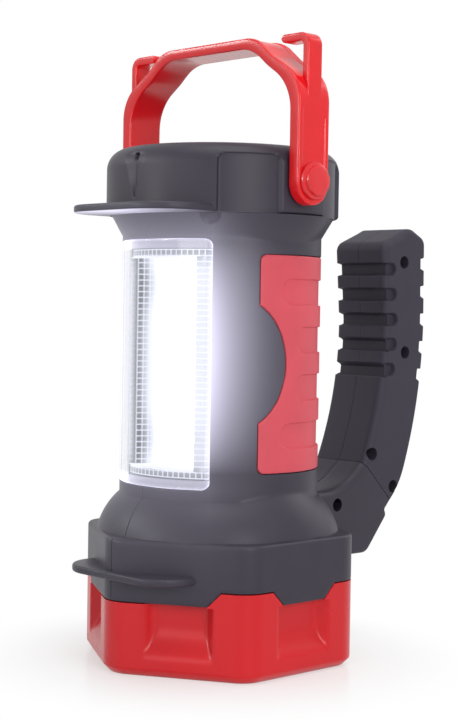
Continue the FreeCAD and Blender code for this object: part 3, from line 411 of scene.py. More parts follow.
def panel_edge(turn, level):
    """Distance to the grip panel's outline, seen from the side: a rounded box with a round bite in front."""
    back = -body_radius * np.cos(turn)
    rise = level - (panel_low + panel_high) / 2
    middle = (panel_front + panel_back) / 2
    half_back = (panel_back - panel_front) / 2
    plate = rounded_box(back - middle, rise, half_back, (panel_high - panel_low) / 2, panel_corner)
    return np.maximum(plate, bite_radius - np.hypot(back - bite_centre, rise))


def button_edge(turn, level):
    """Distance to the round hole of the power button, at the back."""
    across = np.where(np.cos(turn) < 0, body_radius * np.sin(turn), 2 * body_radius)
    return np.hypot(across, level - button_level) - button_hole


def shell_edge(turn, level):
    """Distance to the nearest cut-out of the tube."""
    return np.minimum(np.minimum(window_edge(turn, level), panel_edge(turn, level)), button_edge(turn, level))


def trim(first, second, distance):
    """Grid places slid onto an outline, and a mask of the faces outside it.

    A face stays where the mean distance of its corners is positive. Corners between kept and dropped faces
    move along the distance's slope until it is zero.
    """
    values = distance(first, second)
    keep = (values[:-1, :-1] + values[:-1, 1:] + values[1:, 1:] + values[1:, :-1]) > 0
    kept = np.zeros(values.shape, dtype=bool)
    dropped = np.zeros(values.shape, dtype=bool)
    for rows in (slice(None, -1), slice(1, None)):
        for columns in (slice(None, -1), slice(1, None)):
            kept[rows, columns] |= keep
            dropped[rows, columns] |= ~keep
    border = kept & dropped
    small = 1e-4
    for _ in range(4):
        values = distance(first, second)
        slope_first = (distance(first + small, second) - distance(first - small, second)) / (2 * small)
        slope_second = (distance(first, second + small) - distance(first, second - small)) / (2 * small)
        share = np.where(border, values / np.maximum(slope_first ** 2 + slope_second ** 2, 1e-6), 0)
        first = first - share * slope_first
        second = second - share * slope_second
    return first, second, keep


def with_lobes(reach, turn, level):
    """Dome, tube and neck swollen on the sides by a large ball from below and one from above."""
    drop = math.sqrt(lobe_radius ** 2 - (body_radius - lobe_offset) ** 2)
    for centre in (tube_low + lobe_rise - drop, tube_high - lobe_rise + drop):
        room = lobe_radius ** 2 - (level - centre) ** 2 - (lobe_offset * np.cos(turn)) ** 2
        ball = lobe_offset * np.abs(np.sin(turn)) + np.sqrt(np.maximum(room, 0))
        reach = np.where(room > 0, soft_max(reach, ball, lobe_blend), reach)
    return reach


def with_dimple(reach, turn, level):
    """Neck with a shallow round dimple beside the upper visor, pressed in by a small ball."""
    off = turn - dimple_turn
    room = dimple_radius ** 2 - (dimple_reach * np.sin(off)) ** 2 - (level - dimple_level) ** 2
    ball = dimple_reach * np.cos(off) - np.sqrt(np.maximum(room, 0))
    return np.where((room > 0) & (np.cos(off) > 0), soft_min(reach, ball, dimple_blend), reach)


def with_seam(reach, turn):
    """Edge of a half shell, rounded off at the middle plane."""
    return reach - edge_drop(reach * np.abs(np.sin(turn)), seam_round)


def resample(path, count):
    """Path with a count of points spaced evenly along its length."""
    reach = np.concatenate([[0], np.cumsum(np.linalg.norm(np.diff(path, axis=0), axis=1))])
    at = np.linspace(0, reach[-1], count)
    return np.stack([np.interp(at, reach, path[:, axis]) for axis in range(path.shape[1])], axis=1)


def rounded_run(points, radii, per_run=24, per_arc=16):
    """Straight runs through points, joined at the inner ones by tangent arcs of the given radii."""
    points = np.array(points, dtype=float)
    stretches = []
    start = points[0]
    for corner, before, after, radius in zip(points[1:-1], points[:-2], points[2:], radii):
        back = (before - corner) / np.linalg.norm(before - corner)
        onward = (after - corner) / np.linalg.norm(after - corner)
        half = math.acos(np.clip(back @ onward, -1, 1)) / 2
        reach = radius / math.tan(half)
        first = corner + back * reach
        centre = corner + (back + onward) / np.linalg.norm(back + onward) * radius / math.sin(half)
        stretches.append(start + (first - start) * np.linspace(0, 1, per_run, endpoint=False)[:, None])
        sweep = np.linspace(0, math.pi - 2 * half, per_arc, endpoint=False)[:, None]
        arm = first - centre
        tangent = -back * radius
        stretches.append(centre + arm * np.cos(sweep) + tangent * np.sin(sweep))
        start = corner + onward * reach
    stretches.append(start + (points[-1] - start) * np.linspace(0, 1, per_run)[:, None])
    return np.concatenate(stretches)


def unit(vectors):
    """Vectors brought to length one, row by row."""
    return vectors / np.linalg.norm(vectors, axis=1)[:, None]


def half_section(half, edge, under, per_side, parted=True):
    """Half of a bar's section with round edges: across, offset from a face, share of the way to the other.

    The edges of the two faces have their own radii, and a parted bar has a seam in its middle.
    """
    sweep = np.linspace(0, math.pi / 2, 8)
    across = []
    offset = []
    for radius in (edge, under):
        flat = lines(0, half - radius, 2.2, (0,), (0.12, 0.3))[:-1]
        across.append(np.concatenate([flat, half - radius + radius * np.sin(sweep)]))
        seam = edge_drop(flat, seam_round) if parted else 0 * flat
        offset.append(np.concatenate([seam, radius * (1 - np.cos(sweep))]))
    side = np.linspace(0, 1, per_side)[1:-1]
    share = np.concatenate([0 * across[0], side, 0 * across[1] + 1])
    return (np.concatenate([across[0], half + 0 * side, across[1][::-1]]),
            np.concatenate([offset[0], edge - (edge + under) * side, -offset[1][::-1]]), share)


def carried(upper, lower, across, offset, share):
    """Section carried along two lines: a point lies at an offset plus a share of the way between them."""
    span = lower - upper
    length = np.linalg.norm(span, axis=1)[:, None]
    toward = np.where(length > 1e-6, span / np.maximum(length, 1e-6), np.array([0.0, -1.0]))
    depth = offset + share * length
    flat = upper[:, None, :] + toward[:, None, :] * depth[..., None]
    return np.broadcast_to(across, depth.shape), flat[..., 0], flat[..., 1]


joint_back = 86.35
joint_level = 71.65
joint_reach = 9.475
joint_gap = 0.11
arm_half = 16.1
arm_round = 4.0
arm_edge = 1.2
screw_recess = 3.0
screw_seat = 6.0
arm_screw = (59.3, 62.6)
arm_root = 31.8
arm_high = 69.4
arm_low = 39.1
arm_brow = (-13.0, -11.5)
arm_brow_round = 30.0
arm_belly = 15.9
arm_heel = (-2.4, -6.7)
arm_toe = (-3.9, -4.3)
arm_under_rounds = (6.0, 2.0, 1.5)
low_visor_reach = 62.2
low_visor_half = 33.0
low_visor_corner = 16.0
low_visor_level = 39.2
visor_thickness = 3.2
visor_edge = 1.0
visor_root = 30.0
visor_root_share = 0.6
joint_high = np.array([joint_back - joint_reach, joint_level + joint_reach])
joint_low = np.array([joint_back + joint_reach, joint_level - joint_reach])


def rim_strip(front, back, keep, beyond=False):
    """Narrow faces that join the borders of two sheets of a grid, and the grid's own border where asked."""
    rows, columns = front.shape[:2]
    index = np.arange(rows * columns).reshape(rows, columns)
    padded = np.pad(keep, 1) if beyond else np.pad(keep, 1, mode="edge")
    strips = []
    for first, second, inner, outer in (
            (index[:-1, :], index[1:, :], padded[1:-1, 1:], padded[1:-1, :-1]),
            (index[:, :-1], index[:, 1:], padded[1:, 1:-1], padded[:-1, 1:-1])):
        border = inner != outer
        strips.append(np.stack([first[border], second[border]], axis=1))
    pairs = np.concatenate(strips)
    count = rows * columns
    quads = np.stack([pairs[:, 0], pairs[:, 1], pairs[:, 1] + count, pairs[:, 0] + count], axis=1)
    return np.concatenate([front.reshape(-1, 3), back.reshape(-1, 3)]), quads


def with_recesses(points, keep, places):
    """A side with its screw recesses: walls from the trimmed rims straight in to the seat, and floors."""
    seat = points * np.array([0, 1, 1]) + np.array([screw_seat, 0, 0])
    found = [surface(points, keep), rim_strip(points, seat, keep)]
    ring = [(screw_recess, screw_seat), (screw_recess / 2, screw_seat)]
    return found + [turned(ring, 10, (0, back, level), "X") for back, level in places]


def recess_edge(places, across):
    """Distance function to the rims of the recesses at these places, negative inside, for points far out."""
    places = np.array(places)

    def distance(back, level):
        """Distance to the nearest rim."""
        off = np.hypot(back[..., None] - places[:, 0], level[..., None] - places[:, 1]).min(axis=-1)
        return np.where(across > arm_half - arm_round, off - screw_recess, screw_recess)

    return distance


def fan(edge, middle):
    """Flat face from an edge to a point of the middle plane."""
    return surface(np.stack([edge, np.broadcast_to(middle * np.array([0, 1, 1]), edge.shape)]))


def arm_surfaces(has_recess):
    """Right half of the grip arm, from inside the body to the slanted joint, with end face and recess."""
    high = joint_high - joint_gap
    low = joint_low - joint_gap
    upper = resample(rounded_run([(arm_root, arm_high), high + arm_brow, high], [arm_brow_round]), 110)
    lower = resample(rounded_run([(arm_root, arm_low), (low[0] - arm_belly, arm_low), low + arm_heel,
                                  low + arm_toe, low], arm_under_rounds), 110)
    across, back, level = carried(upper, lower, *half_section(arm_half, arm_round, arm_edge, 30))
    if has_recess:
        back, level, keep = trim(back, level, recess_edge([arm_screw], across))
        found = with_recesses(np.stack([across, back, level], axis=-1), keep, [arm_screw])
    else:
        found = [surface(np.stack([across, back, level], axis=-1))]
    end = np.stack([across[-1], back[-1], level[-1]], axis=-1)
    found.append(fan(end, (end[0] + end[-1]) / 2))
    return found


def visor_points(reach, half, corner, low):
    """Visor plate: an outline with a straight front and round corners, carried over its rounded edge.

    Rows run from a line inside the body over the upper face, round the edge and back along the lower face.
    """
    corners = [(half, -visor_root), (half, -reach), (-half, -reach), (-half, -visor_root)]
    outline = rounded_run(corners, [corner, corner], 24, 28)
    along = unit(np.gradient(outline, axis=0))
    outward = np.stack([-along[:, 1], along[:, 0]], axis=1)
    outward *= np.sign(np.sum(outward * (outline - np.array([0, -visor_root])), axis=1))[:, None]
    sweep = np.linspace(0, math.pi / 2, 7)
    inset = visor_edge * (1 - np.sin(sweep))
    drop = visor_edge * (1 - np.cos(sweep))
    high = low + visor_thickness
    root = np.maximum(outline[:, 1], -visor_root)
    first = np.stack([outline[:, 0] * visor_root_share, root, 0 * root + high], axis=1)
    levels = np.concatenate([high - drop, (low + drop)[::-1]])
    insets = np.concatenate([inset, inset[::-1]])
    flat = outline[None] - outward[None] * insets[:, None, None]
    edge_rows = np.concatenate([flat, np.broadcast_to(levels[:, None, None], flat.shape[:2] + (1,))], axis=2)
    last = first - np.array([0, 0, visor_thickness])
    return np.concatenate([first[None], edge_rows, last[None]])


panel_marks = [math.degrees(math.acos(-place / body_radius)) for place in (panel_front, panel_back)]
shell_marks = [0, 180, math.degrees(math.asin(window_half / body_radius))] + panel_marks
shell_marks += [mark for mark in turn_marks if 0 < mark < 180]
shell_turn = np.radians(lines(0, 180, 1.0, shell_marks, (-0.45, -0.2, 0, 0.2, 0.45)))[None, :]

foot_level = base_height + parting_rise(shell_turn)
lip = np.array([(skirt_flange, 0.0), (3.0, 0.0), (0.5, 0.0), (0.15, 0.12), (0.0, 0.5)])
wall_share = np.linspace(0, 1, 16)[1:, None]
skirt_wall = (foot_level + lip[-1, 1]) * (1 - wall_share) + (rim_top - rim_round) * wall_share
skirt_level = np.concatenate([foot_level + lip[:, 1:], skirt_wall])
skirt_inset = np.concatenate([lip[:, :1], 0 * wall_share])
skirt_reach = hex_reach(shell_turn, skirt_inset)
sweep = np.linspace(0, math.pi / 2, 7)[1:, None]
rim_reach = np.maximum(hex_reach(shell_turn, rim_round * (1 - np.cos(sweep))), dome_radius)
rim_level_rows = rim_top - rim_round * (1 - np.sin(sweep)) + 0 * shell_turn
shelf_share = np.linspace(0, 1, 4)[1:, None]
shelf_reach = np.maximum(rim_reach[-1:] * (1 - shelf_share) + dome_radius * shelf_share, dome_radius)
shelf_level = rim_top + 0 * shelf_reach
chord = np.array([body_radius - dome_radius, tube_low - rim_top])
chord_half = np.linalg.norm(chord) / 2
crown_radius = (chord_half ** 2 + dome_crown ** 2) / (2 * dome_crown)
along_chord = np.linspace(-1, 1, 26)[1:, None]
bulge = np.sqrt(crown_radius ** 2 - (chord_half * along_chord) ** 2) - (crown_radius - dome_crown)
outward = np.array([chord[1], -chord[0]]) / (2 * chord_half)
dome_reach = (dome_radius + body_radius) / 2 + chord[0] / 2 * along_chord + outward[0] * bulge
dome_level = (rim_top + tube_low) / 2 + chord[1] / 2 * along_chord + outward[1] * bulge + 0 * shell_turn
dome_reach = with_lobes(dome_reach + 0 * shell_turn, shell_turn, dome_level)
lower_reach = with_seam(np.concatenate([skirt_reach, rim_reach, shelf_reach, dome_reach]), shell_turn)
lower_level = np.concatenate([skirt_level, rim_level_rows, shelf_level, dome_level])
lower_body = around(lower_reach, shell_turn, lower_level)

tube_rows = lines(tube_low, tube_high, 1.1, (window_low, window_high, panel_low, panel_high))[:, None]
arc_place, tube_level_rows = np.broadcast_arrays(shell_turn * body_radius, tube_rows)
arc_place, tube_level_rows, tube_keep = trim(arc_place, tube_level_rows,
                                             lambda place, level: shell_edge(place / body_radius, level))
tube_turn = arc_place / body_radius
tube_reach = with_lobes(body_radius + 0 * tube_turn, tube_turn, tube_level_rows)
tube_reach = tube_reach - edge_drop(np.maximum(shell_edge(tube_turn, tube_level_rows), 0), cut_round)
tube_body = around(with_seam(tube_reach, tube_turn), tube_turn, tube_level_rows)

neck_rows = np.linspace(tube_high, neck_top, 20)[:, None]
neck_reach = body_radius + (neck_radius - body_radius) * (neck_rows - tube_high) / (neck_top - tube_high)
neck_reach = with_lobes(neck_reach + 0 * shell_turn, shell_turn, neck_rows)
neck_reach = with_dimple(neck_reach, shell_turn, neck_rows)
neck_lip = np.array(neck_lip_insets)[:, None]
neck_reach = np.concatenate([neck_reach, neck_reach[-1:] - neck_lip])
neck_level = np.concatenate([neck_rows, neck_top + 0 * neck_lip])
neck_body = around(neck_reach, shell_turn, neck_level)

low_visor = visor_points(low_visor_reach, low_visor_half, low_visor_corner, low_visor_level)
right_visor = low_visor[:, low_visor[0, :, 0] >= -1e-6]
right_visor = np.concatenate([right_visor, right_visor[:, -1:] * np.array([0, 1, 1])], axis=1)

spill_beside = 11.0
spill_beyond = 14.0
spill_above = 0.24
spill_below = 0.1
spill_middle = 4.5
spill_half = 52.0
dimple_shade = 0.25


def window_light(points):
    """Light that spills from the lit window onto the black plastic and fades away from the window's edges."""
    turn = np.arctan2(points[:, 0], -points[:, 1])
    rise = points[:, 2] - (window_low + window_high) / 2
    arc_half = body_radius * math.asin(window_half / body_radius)
    across = np.maximum(body_radius * np.abs(turn) - arc_half, 0)
    beyond = np.maximum(np.abs(rise) - (window_high - window_low) / 2, 0)
    tail = np.where(rise > 0, spill_above, spill_below) * np.exp(-beyond / spill_beyond)
    beside = np.maximum(1 - ((rise - spill_middle) / spill_half) ** 2, tail)
    off_dimple = np.linalg.norm(points - around(dimple_reach, dimple_turn, dimple_level), axis=1)
    shaded = dimple_shade + (1 - dimple_shade) * ramp(off_dimple - dimple_radius, 0.5)
    return beside * np.exp(-across / spill_beside) * shaded


def glowing(material, strength=1.0, colour=(0.82, 0.79, 1.0, 1)):
    """Adds light of the kept glow to a material."""
    tree = material.node_tree
    shader = tree.nodes["Principled BSDF"]
    light = add_node(tree, "Attribute", attribute_name="glow")
    level = add_node(tree, "Math", {1: strength}, operation="MULTIPLY")
    join(tree, (light.outputs["Fac"], level.inputs[0]),
         (level.outputs["Value"], shader.inputs["Emission Strength"]))
    shader.inputs["Emission Color"].default_value = colour
    return material


def mirrored(surfaces, sign):
    """The right side's surfaces, turned over to the left where the sign is negative."""
    return [(points * np.array([sign, 1, 1]), quads) for points, quads in surfaces]


HANDS = (("right", 1), ("left", -1))
black = tone(51, 47, 59)
satin = {"roughness": 0.45, "grain": 0.35, "depth": 0.012, "Specular_IOR_Level": 0.3}
shell_plastic = glowing(finish("shell_plastic", black, **satin), 1.08)
body_surfaces = [surface(lower_body), surface(tube_body, tube_keep), surface(neck_body), surface(right_visor)]
for hand, sign in HANDS:
    half = mirrored(body_surfaces + arm_surfaces(sign > 0), sign)
    make_piece(hand + "_half_shell", half, shell_plastic, "housing", [hand + "_shell"],
               wall=shell_wall, glow=window_light)


# Light window: a curved clear cover with a frame that glows with painted light, trapped by its flange behind
# the half shells. Behind it stands a tray with sloping sides; its small square facets are painted light,
# bright lines between dimmer facets, and on its floor lies a lit board of emitters.
lens_gap = 0.1
lens_frame_side = 2.0
lens_frame_end = 4.0
lens_thickness = 3.2
lens_edge_round = 0.6
frame_band = 0.16
frame_end_band = 0.2
frame_rim = 0.25
frame_end_rim = 0.3
frame_soft = 0.5
lens_middle = (window_low + window_high) / 2
lens_rise_half = (window_high - window_low) / 2 - lens_gap
arc_half = body_radius * math.asin((window_half - lens_gap) / body_radius)
arc_lines = lines(-arc_half, arc_half, 1.3, [-arc_half, arc_half], np.linspace(-3, 3, 25))
rise_lines = lines(-lens_rise_half, lens_rise_half, 1.3, [-lens_rise_half, lens_rise_half],
                   np.linspace(-5, 5, 41))
lens_arc, lens_rise = np.meshgrid(arc_lines, rise_lines)


def lens_edge(place, rise):
    """Distance to the cover's outline, negative inside it."""
    return window_edge(place / body_radius, rise + lens_middle) + lens_gap


lens_arc, lens_rise, lens_keep = trim(lens_arc, lens_rise, lambda place, rise: -lens_edge(place, rise))
inside = np.maximum(-lens_edge(lens_arc, lens_rise), 0)
lens_turn = lens_arc / body_radius
lens_level = lens_rise + lens_middle
lens_front = around(body_radius - edge_drop(inside, lens_edge_round), lens_turn, lens_level)
lens_back = around(body_radius - lens_thickness, lens_turn, lens_level)


def frame_light(points):
    """Light in the cover's frame: a bright line along the outline and a paler band inside, in front."""
    place = body_radius * np.arctan2(points[:, 0], -points[:, 1])
    rise = points[:, 2] - lens_middle
    past_side = np.abs(place) - (arc_half - lens_frame_side)
    past_end = np.abs(rise) - (lens_rise_half - lens_frame_end)
    band = ramp(np.maximum(past_side, past_end), frame_soft)
    ends = ramp(past_end, frame_soft)
    rim = np.exp(-np.maximum(-lens_edge(place, rise), 0) / frame_soft)
    front = np.hypot(points[:, 0], points[:, 1]) > body_radius - lens_thickness / 2
    return front * (frame_band * band + frame_end_band * ends + (frame_rim + frame_end_rim * ends) * rim)


lens_rim = rim_strip(lens_front, lens_back, lens_keep, True)
lens_surfaces = [surface(lens_front, lens_keep), surface(lens_back, lens_keep), lens_rim]
lens_plastic = glowing(finish("lens_plastic", tone(244, 246, 252), 0.04, grain=1.5, depth=0.002, spread=0.01,
                              Transmission_Weight=1.0, IOR=1.49))
make_piece("window_cover", lens_surfaces, lens_plastic, "housing", ["lantern_lens"],
           glow=frame_light)

facet_pitch = 2.48
facet_line = 0.42
facet_start = 2.3
facet_rows = 18
facet_dark = 0.05
facet_bright = 1.1
facet_fade = 8.0
lit_depth = 3.2
dusk_depth = 2.0
dusk_below = 12.0
dusk_half = 10.0
rim_bright = 0.75
rim_fade = 16.0
tray_plain = 0.1
tray_gap = 1.6
tray_reach = body_radius - shell_wall - tray_gap
tray_edge_half = 28.6
tray_mouth = np.array([20.8, 32.28])
tray_floor = np.array([11.0, 17.9])
tray_wall = 0.8
mouth_rise = facet_rows * facet_pitch
mouth_turn = math.asin(tray_mouth[0] / tray_reach)
edge_turn = math.asin(tray_edge_half / tray_reach)
slope_length = np.linalg.norm(tray_mouth - tray_floor)


def beside_lines(marks, low, high):
    """Places on each mark and a line's half width to both sides of it, between two ends."""
    marks = np.asarray(marks)
    places = np.concatenate([[low, high], marks, marks - facet_line, marks + facet_line])
    places = np.unique(np.round(places, 4))
    return places[(places >= low) & (places <= high)]


def on_line(value):
    """One on the lines between facets, falling to nothing at a line's half width."""
    off = np.abs(value / facet_pitch - np.round(value / facet_pitch)) * facet_pitch
    return np.clip(1 - off / facet_line, 0, 1)


def tray_light(points):
    """Light of the tray: white lines between grey facets, which grow white towards the floor."""
    turn = np.arctan2(points[:, 0], -points[:, 1])
    rise = np.abs(points[:, 2] - lens_middle)
    on_rim = np.hypot(points[:, 0], points[:, 1]) > tray_reach - 0.1
    deep = slope_length * (tray_mouth[0] - np.abs(points[:, 0])) / (tray_mouth[0] - tray_floor[0])
    line = np.maximum(on_line(np.where(on_rim, tray_reach * turn, deep - facet_start)), on_line(rise))
    plain = np.where(on_rim, rise > mouth_rise + facet_pitch + 0.01, deep < facet_start - 0.01)
    dusk = dusk_depth * np.exp(-((mouth_rise - rise - dusk_below) / dusk_half) ** 2)
    slope_facet = facet_bright * ramp(deep - facet_start - lit_depth - dusk, facet_fade)
    rim_facet = rim_bright * ramp(mouth_rise - rise, rim_fade)
    facet = facet_dark + np.where(on_rim, rim_facet, slope_facet)
    return np.where(plain, tray_plain, np.maximum(facet, line))


slope_places = beside_lines(facet_start + facet_pitch * np.arange(7), 0, slope_length)[:, None]
slope_path = tray_mouth + (tray_floor - tray_mouth) * slope_places / slope_length
rim_turns = np.linspace(edge_turn, mouth_turn, 8)[:-1]
rim_path = tray_reach * np.stack([np.sin(rim_turns), np.cos(rim_turns)], axis=1)
half_path = np.concatenate([rim_path, slope_path])
tray_path = np.concatenate([half_path * np.array([-1, 1]), half_path[::-1]])
row_marks = facet_pitch * np.arange(-facet_rows, facet_rows + 1)
tray_rows = beside_lines(row_marks, -mouth_rise, mouth_rise)[:, None]
tray_x, tray_y, tray_z = np.broadcast_arrays(tray_path[:, 0], -tray_path[:, 1], tray_rows + lens_middle)
tray_surfaces = [surface(np.stack([tray_x, tray_y, tray_z], axis=-1))]
rim_places = beside_lines(facet_pitch * np.arange(-20, 21), -edge_turn * tray_reach, edge_turn * tray_reach)
rim_rows = beside_lines([mouth_rise, mouth_rise + facet_pitch], mouth_rise, lens_rise_half)[:, None]
end_y = -np.sqrt(tray_reach ** 2 - tray_path[:, 0] ** 2)
for sign in (-1, 1):
    tray_surfaces.append(surface(around(tray_reach, rim_places / tray_reach, lens_middle + sign * rim_rows)))
    end_top = np.stack([tray_path[:, 0], end_y, 0 * end_y + lens_middle + sign * mouth_rise], axis=-1)
    end_foot = np.where([False, True, False], tray_y[0][:, None], end_top)
    tray_surfaces.append(surface(np.stack([end_top, end_foot])))
# A grey finish that looks white only through painted light: the tray glows by tray_light.
tray_white = glowing(finish("tray_white", tone(70, 72, 78), 0.4, spread=0.02), colour=tone(246, 247, 255))
make_piece("lamp_tray", tray_surfaces, tray_white, "housing", ["lantern_reflector"],
           wall=tray_wall, glow=tray_light)


def dress(node, material):
    """Gives a carried-over node its finish."""
    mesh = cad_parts[node].data
    mesh.materials.clear()
    mesh.materials.append(material)


# The board glows with painted light around its emitters; the emitters themselves are the lamps.
board_white = finish("board_white", tone(230, 232, 235), 0.4, spread=0.03, Emission_Color=tone(245, 247, 255),
                     Emission_Strength=1.3)
emitter = finish("emitter", tone(250, 244, 214), 0.3, spread=0.03, Emission_Color=tone(255, 255, 255),
                 Emission_Strength=3.0)
dress("lantern_led_board", board_white)
dress("lantern_leds", emitter)


# Grip panels: red rubbery inserts, moulded with four finger grooves each. They are pressed flush into the
# pockets of the half shells.
panel_gap = 0.1
panel_thickness = 1.6
panel_edge_round = 0.6
panel_span = (66.0, 152.0)
panel_middle = (panel_low + panel_high) / 2
groove_width = 10.8
groove_depth = 0.9
groove_pitch = 20.0
groove_back = 60.0
groove_fronts = (-5.0, 3.2, 3.2, -5.0)
groove_soft = 0.5
groove_levels = groove_pitch * (np.arange(4) - 1.5)


def panel_groove(back, rise):
    """Depth of the four finger grooves: long slots with round ends and soft edges."""
    depth = 0 * back
    half = groove_width / 2
    for front, groove in zip(groove_fronts, groove_levels):
        middle = (front + groove_back) / 2
        slot = rounded_box(back - middle, rise - groove, (groove_back - front) / 2, half, half - 0.01)
        depth = np.maximum(depth, groove_depth * ramp(-slot, groove_soft))
    return depth


panel_turns = np.radians(lines(*panel_span, 0.5, panel_marks, (-0.5, -0.25, 0, 0.25, 0.5)))[None, :]
groove_sides = np.add.outer(panel_middle + groove_levels, (-groove_width / 2, groove_width / 2)).ravel()
panel_rows = lines(panel_low - 1, panel_high + 1, 0.7, [panel_low, panel_high, *groove_sides],
                   (-0.5, -0.25, -0.12, 0, 0.12, 0.25, 0.5))[:, None]
panel_arc, panel_level = np.broadcast_arrays(panel_turns * body_radius, panel_rows)


def panel_room(place, level):
    """Distance to the panel's own edge, a gap inside its pocket, positive inside."""
    return -panel_edge(place / body_radius, level) - panel_gap


panel_arc, panel_level, panel_keep = trim(panel_arc, panel_level, panel_room)
panel_turn = panel_arc / body_radius
panel_drop = edge_drop(np.maximum(panel_room(panel_arc, panel_level), 0), panel_edge_round)
panel_drop = panel_drop + panel_groove(-body_radius * np.cos(panel_turn), panel_level - panel_middle)
panel_points = around(body_radius - panel_drop, panel_turn, panel_level)
red_panel = finish("red_panel", tone(214, 82, 94), 0.5, grain=0.4, depth=0.01, spread=0.05,
                   Specular_IOR_Level=0.3)
for hand, sign in HANDS:
    make_piece(hand + "_panel", mirrored([surface(panel_points, panel_keep)], sign), red_panel, "housing",
               [hand + "_grip_panel"], wall=panel_thickness)


# Inside pieces: cells in their holder, contacts, boards, heat sink, switch and seals. They are hidden in the
# closed lantern and keep their solids, each with the finish of its material.
inside_finishes = {
    "lens_seal": ("seal_rubber", (28, 28, 30), 0.75, 0.0),
    "spot_led_board": ("lamp_board", (226, 228, 230), 0.45, 0.0),
    "spot_led": ("lamp_emitter", (244, 226, 150), 0.3, 0.0),
    "heat_sink": ("sink_aluminium", (176, 180, 184), 0.35, 1.0),
    "battery_holder": ("holder_plastic", (52, 52, 56), 0.5, 0.0),
    "battery_cells": ("cell_can", (120, 124, 130), 0.3, 0.9),
    "battery_contacts": ("contact_brass", (196, 164, 90), 0.3, 1.0),
    "driver_board": ("driver_green", (24, 92, 52), 0.45, 0.0),
    "switch_body": ("switch_plastic", (38, 38, 42), 0.5, 0.0),
    "cap_seal": ("cap_rubber", (28, 28, 30), 0.75, 0.0),
    "cap_contact_plate": ("plate_brass", (196, 164, 90), 0.3, 1.0),
    "swivel_post": ("post_plastic", (60, 60, 64), 0.45, 0.0),
    "swivel_washer": ("washer_steel", (170, 172, 176), 0.3, 1.0),
    "swivel_screw": ("swivel_steel", (150, 152, 158), 0.3, 1.0),
}
for node, (name, shade, roughness, metal) in inside_finishes.items():
    dress(node, finish(name, tone(*shade), roughness, Metallic=metal))


# Power button: a round rubber key in the back of the tube, in reach of the thumb, with a shallow dish on its
# face. Its flange holds it behind the hole of the half shells.
button_radius = 6.7
button_face = 44.5
button_root = 37.5
button_round = 1.2
button_flange = 8.4
button_flange_top = button_root + 1.0
dish_reach = 5.0
dish_depth = 0.5

dish_radius = np.linspace(0, dish_reach, 9)
dish_face = button_face - dish_depth * (1 - (dish_radius / dish_reach) ** 2) ** 2
sweep = np.linspace(0, math.pi / 2, 7)
brow = np.stack([button_radius - button_round + button_round * np.sin(sweep),
                 button_face - button_round + button_round * np.cos(sweep)], axis=1)
key_foot = [(button_radius, button_flange_top), (button_flange, button_flange_top),
            (button_flange, button_root), (0, button_root)]
key_profile = np.concatenate([np.stack([dish_radius, dish_face], axis=1), brow, key_foot])
button_rubber = finish("button_rubber", tone(40, 40, 44), 0.62, grain=0.3, depth=0.02, spread=0.08)
make_piece("power_key", [turned(key_profile, 6, (0, 0, button_level), "Y")], button_rubber, "button",
           ["power_button"])


# Top cap: the round twist-off battery lid, moulded in the same black plastic, with the upper visor in front.
# It has four shallow finger recesses, a tapered mark with a small hole, and flats for the bail's legs.
cap_radius = 50.2
cap_low = 190.0
cap_top = 218.7
cap_round = 9.0
cap_foot_round = 1.6
cap_top_rings = (0.0, 20.0, 40.0)
cap_foot_inside = 42.0
cap_flat = 50.5
cap_flat_blend = 0.8
cap_recess_turn = 59.75
cap_recess_half = 13.4
cap_recess_top = 214.0
cap_recess_depth = 1.8
cap_recess_height = 44.0
cap_recess_corner = 3.0
cap_recess_soft = 0.9
mark_low = 195.6
mark_high = 215.5
mark_low_half = 0.2
mark_high_half = 7.4
mark_depth = 1.0
mark_end = 0.08
mark_hole = 1.5
mark_hole_depth = 1.5
mark_hole_soft = 0.4
mark_hole_level = 213.1
plug_radius = 39.4
plug_low = 182.2
top_visor_reach = 65.0
top_visor_half = 34.0
top_visor_corner = 20.0
visor_light_spread = 28.0
visor_edge_light = 0.04
visor_under_light = 0.9


def cap_pressed(turn, level):
    """How deep the cap's wall is pressed in by the finger recesses."""
    depth = 0 * turn * level
    for middle in (cap_recess_turn, 180 - cap_recess_turn, -cap_recess_turn, cap_recess_turn - 180):
        off = (turn - math.radians(middle) + math.pi) % (2 * math.pi) - math.pi
        half = cap_recess_height / 2
        slot = rounded_box(cap_radius * off, level - (cap_recess_top - half), cap_recess_half, half,
                           cap_recess_corner)
        depth = np.maximum(depth, cap_recess_depth * ramp(-slot, cap_recess_soft))
    return depth


def cap_marked(turn, level):
    """How deep the tapered mark is cut: two slopes that meet in a valley, wider upwards, and a hole."""
    across = cap_radius * ((turn + math.pi) % (2 * math.pi) - math.pi)
    share = np.clip((level - mark_low) / (mark_high - mark_low), 0, 1)
    half = mark_low_half + (mark_high_half - mark_low_half) * share
    ends = ramp(share - mark_end / 2, mark_end) * ramp(1 - mark_end / 2 - share, mark_end)
    valley = mark_depth * np.clip(1 - np.abs(across) / half, 0, 1) * ends
    hole = np.hypot(across, level - mark_hole_level) - mark_hole
    return valley + mark_hole_depth * ramp(-hole, mark_hole_soft)


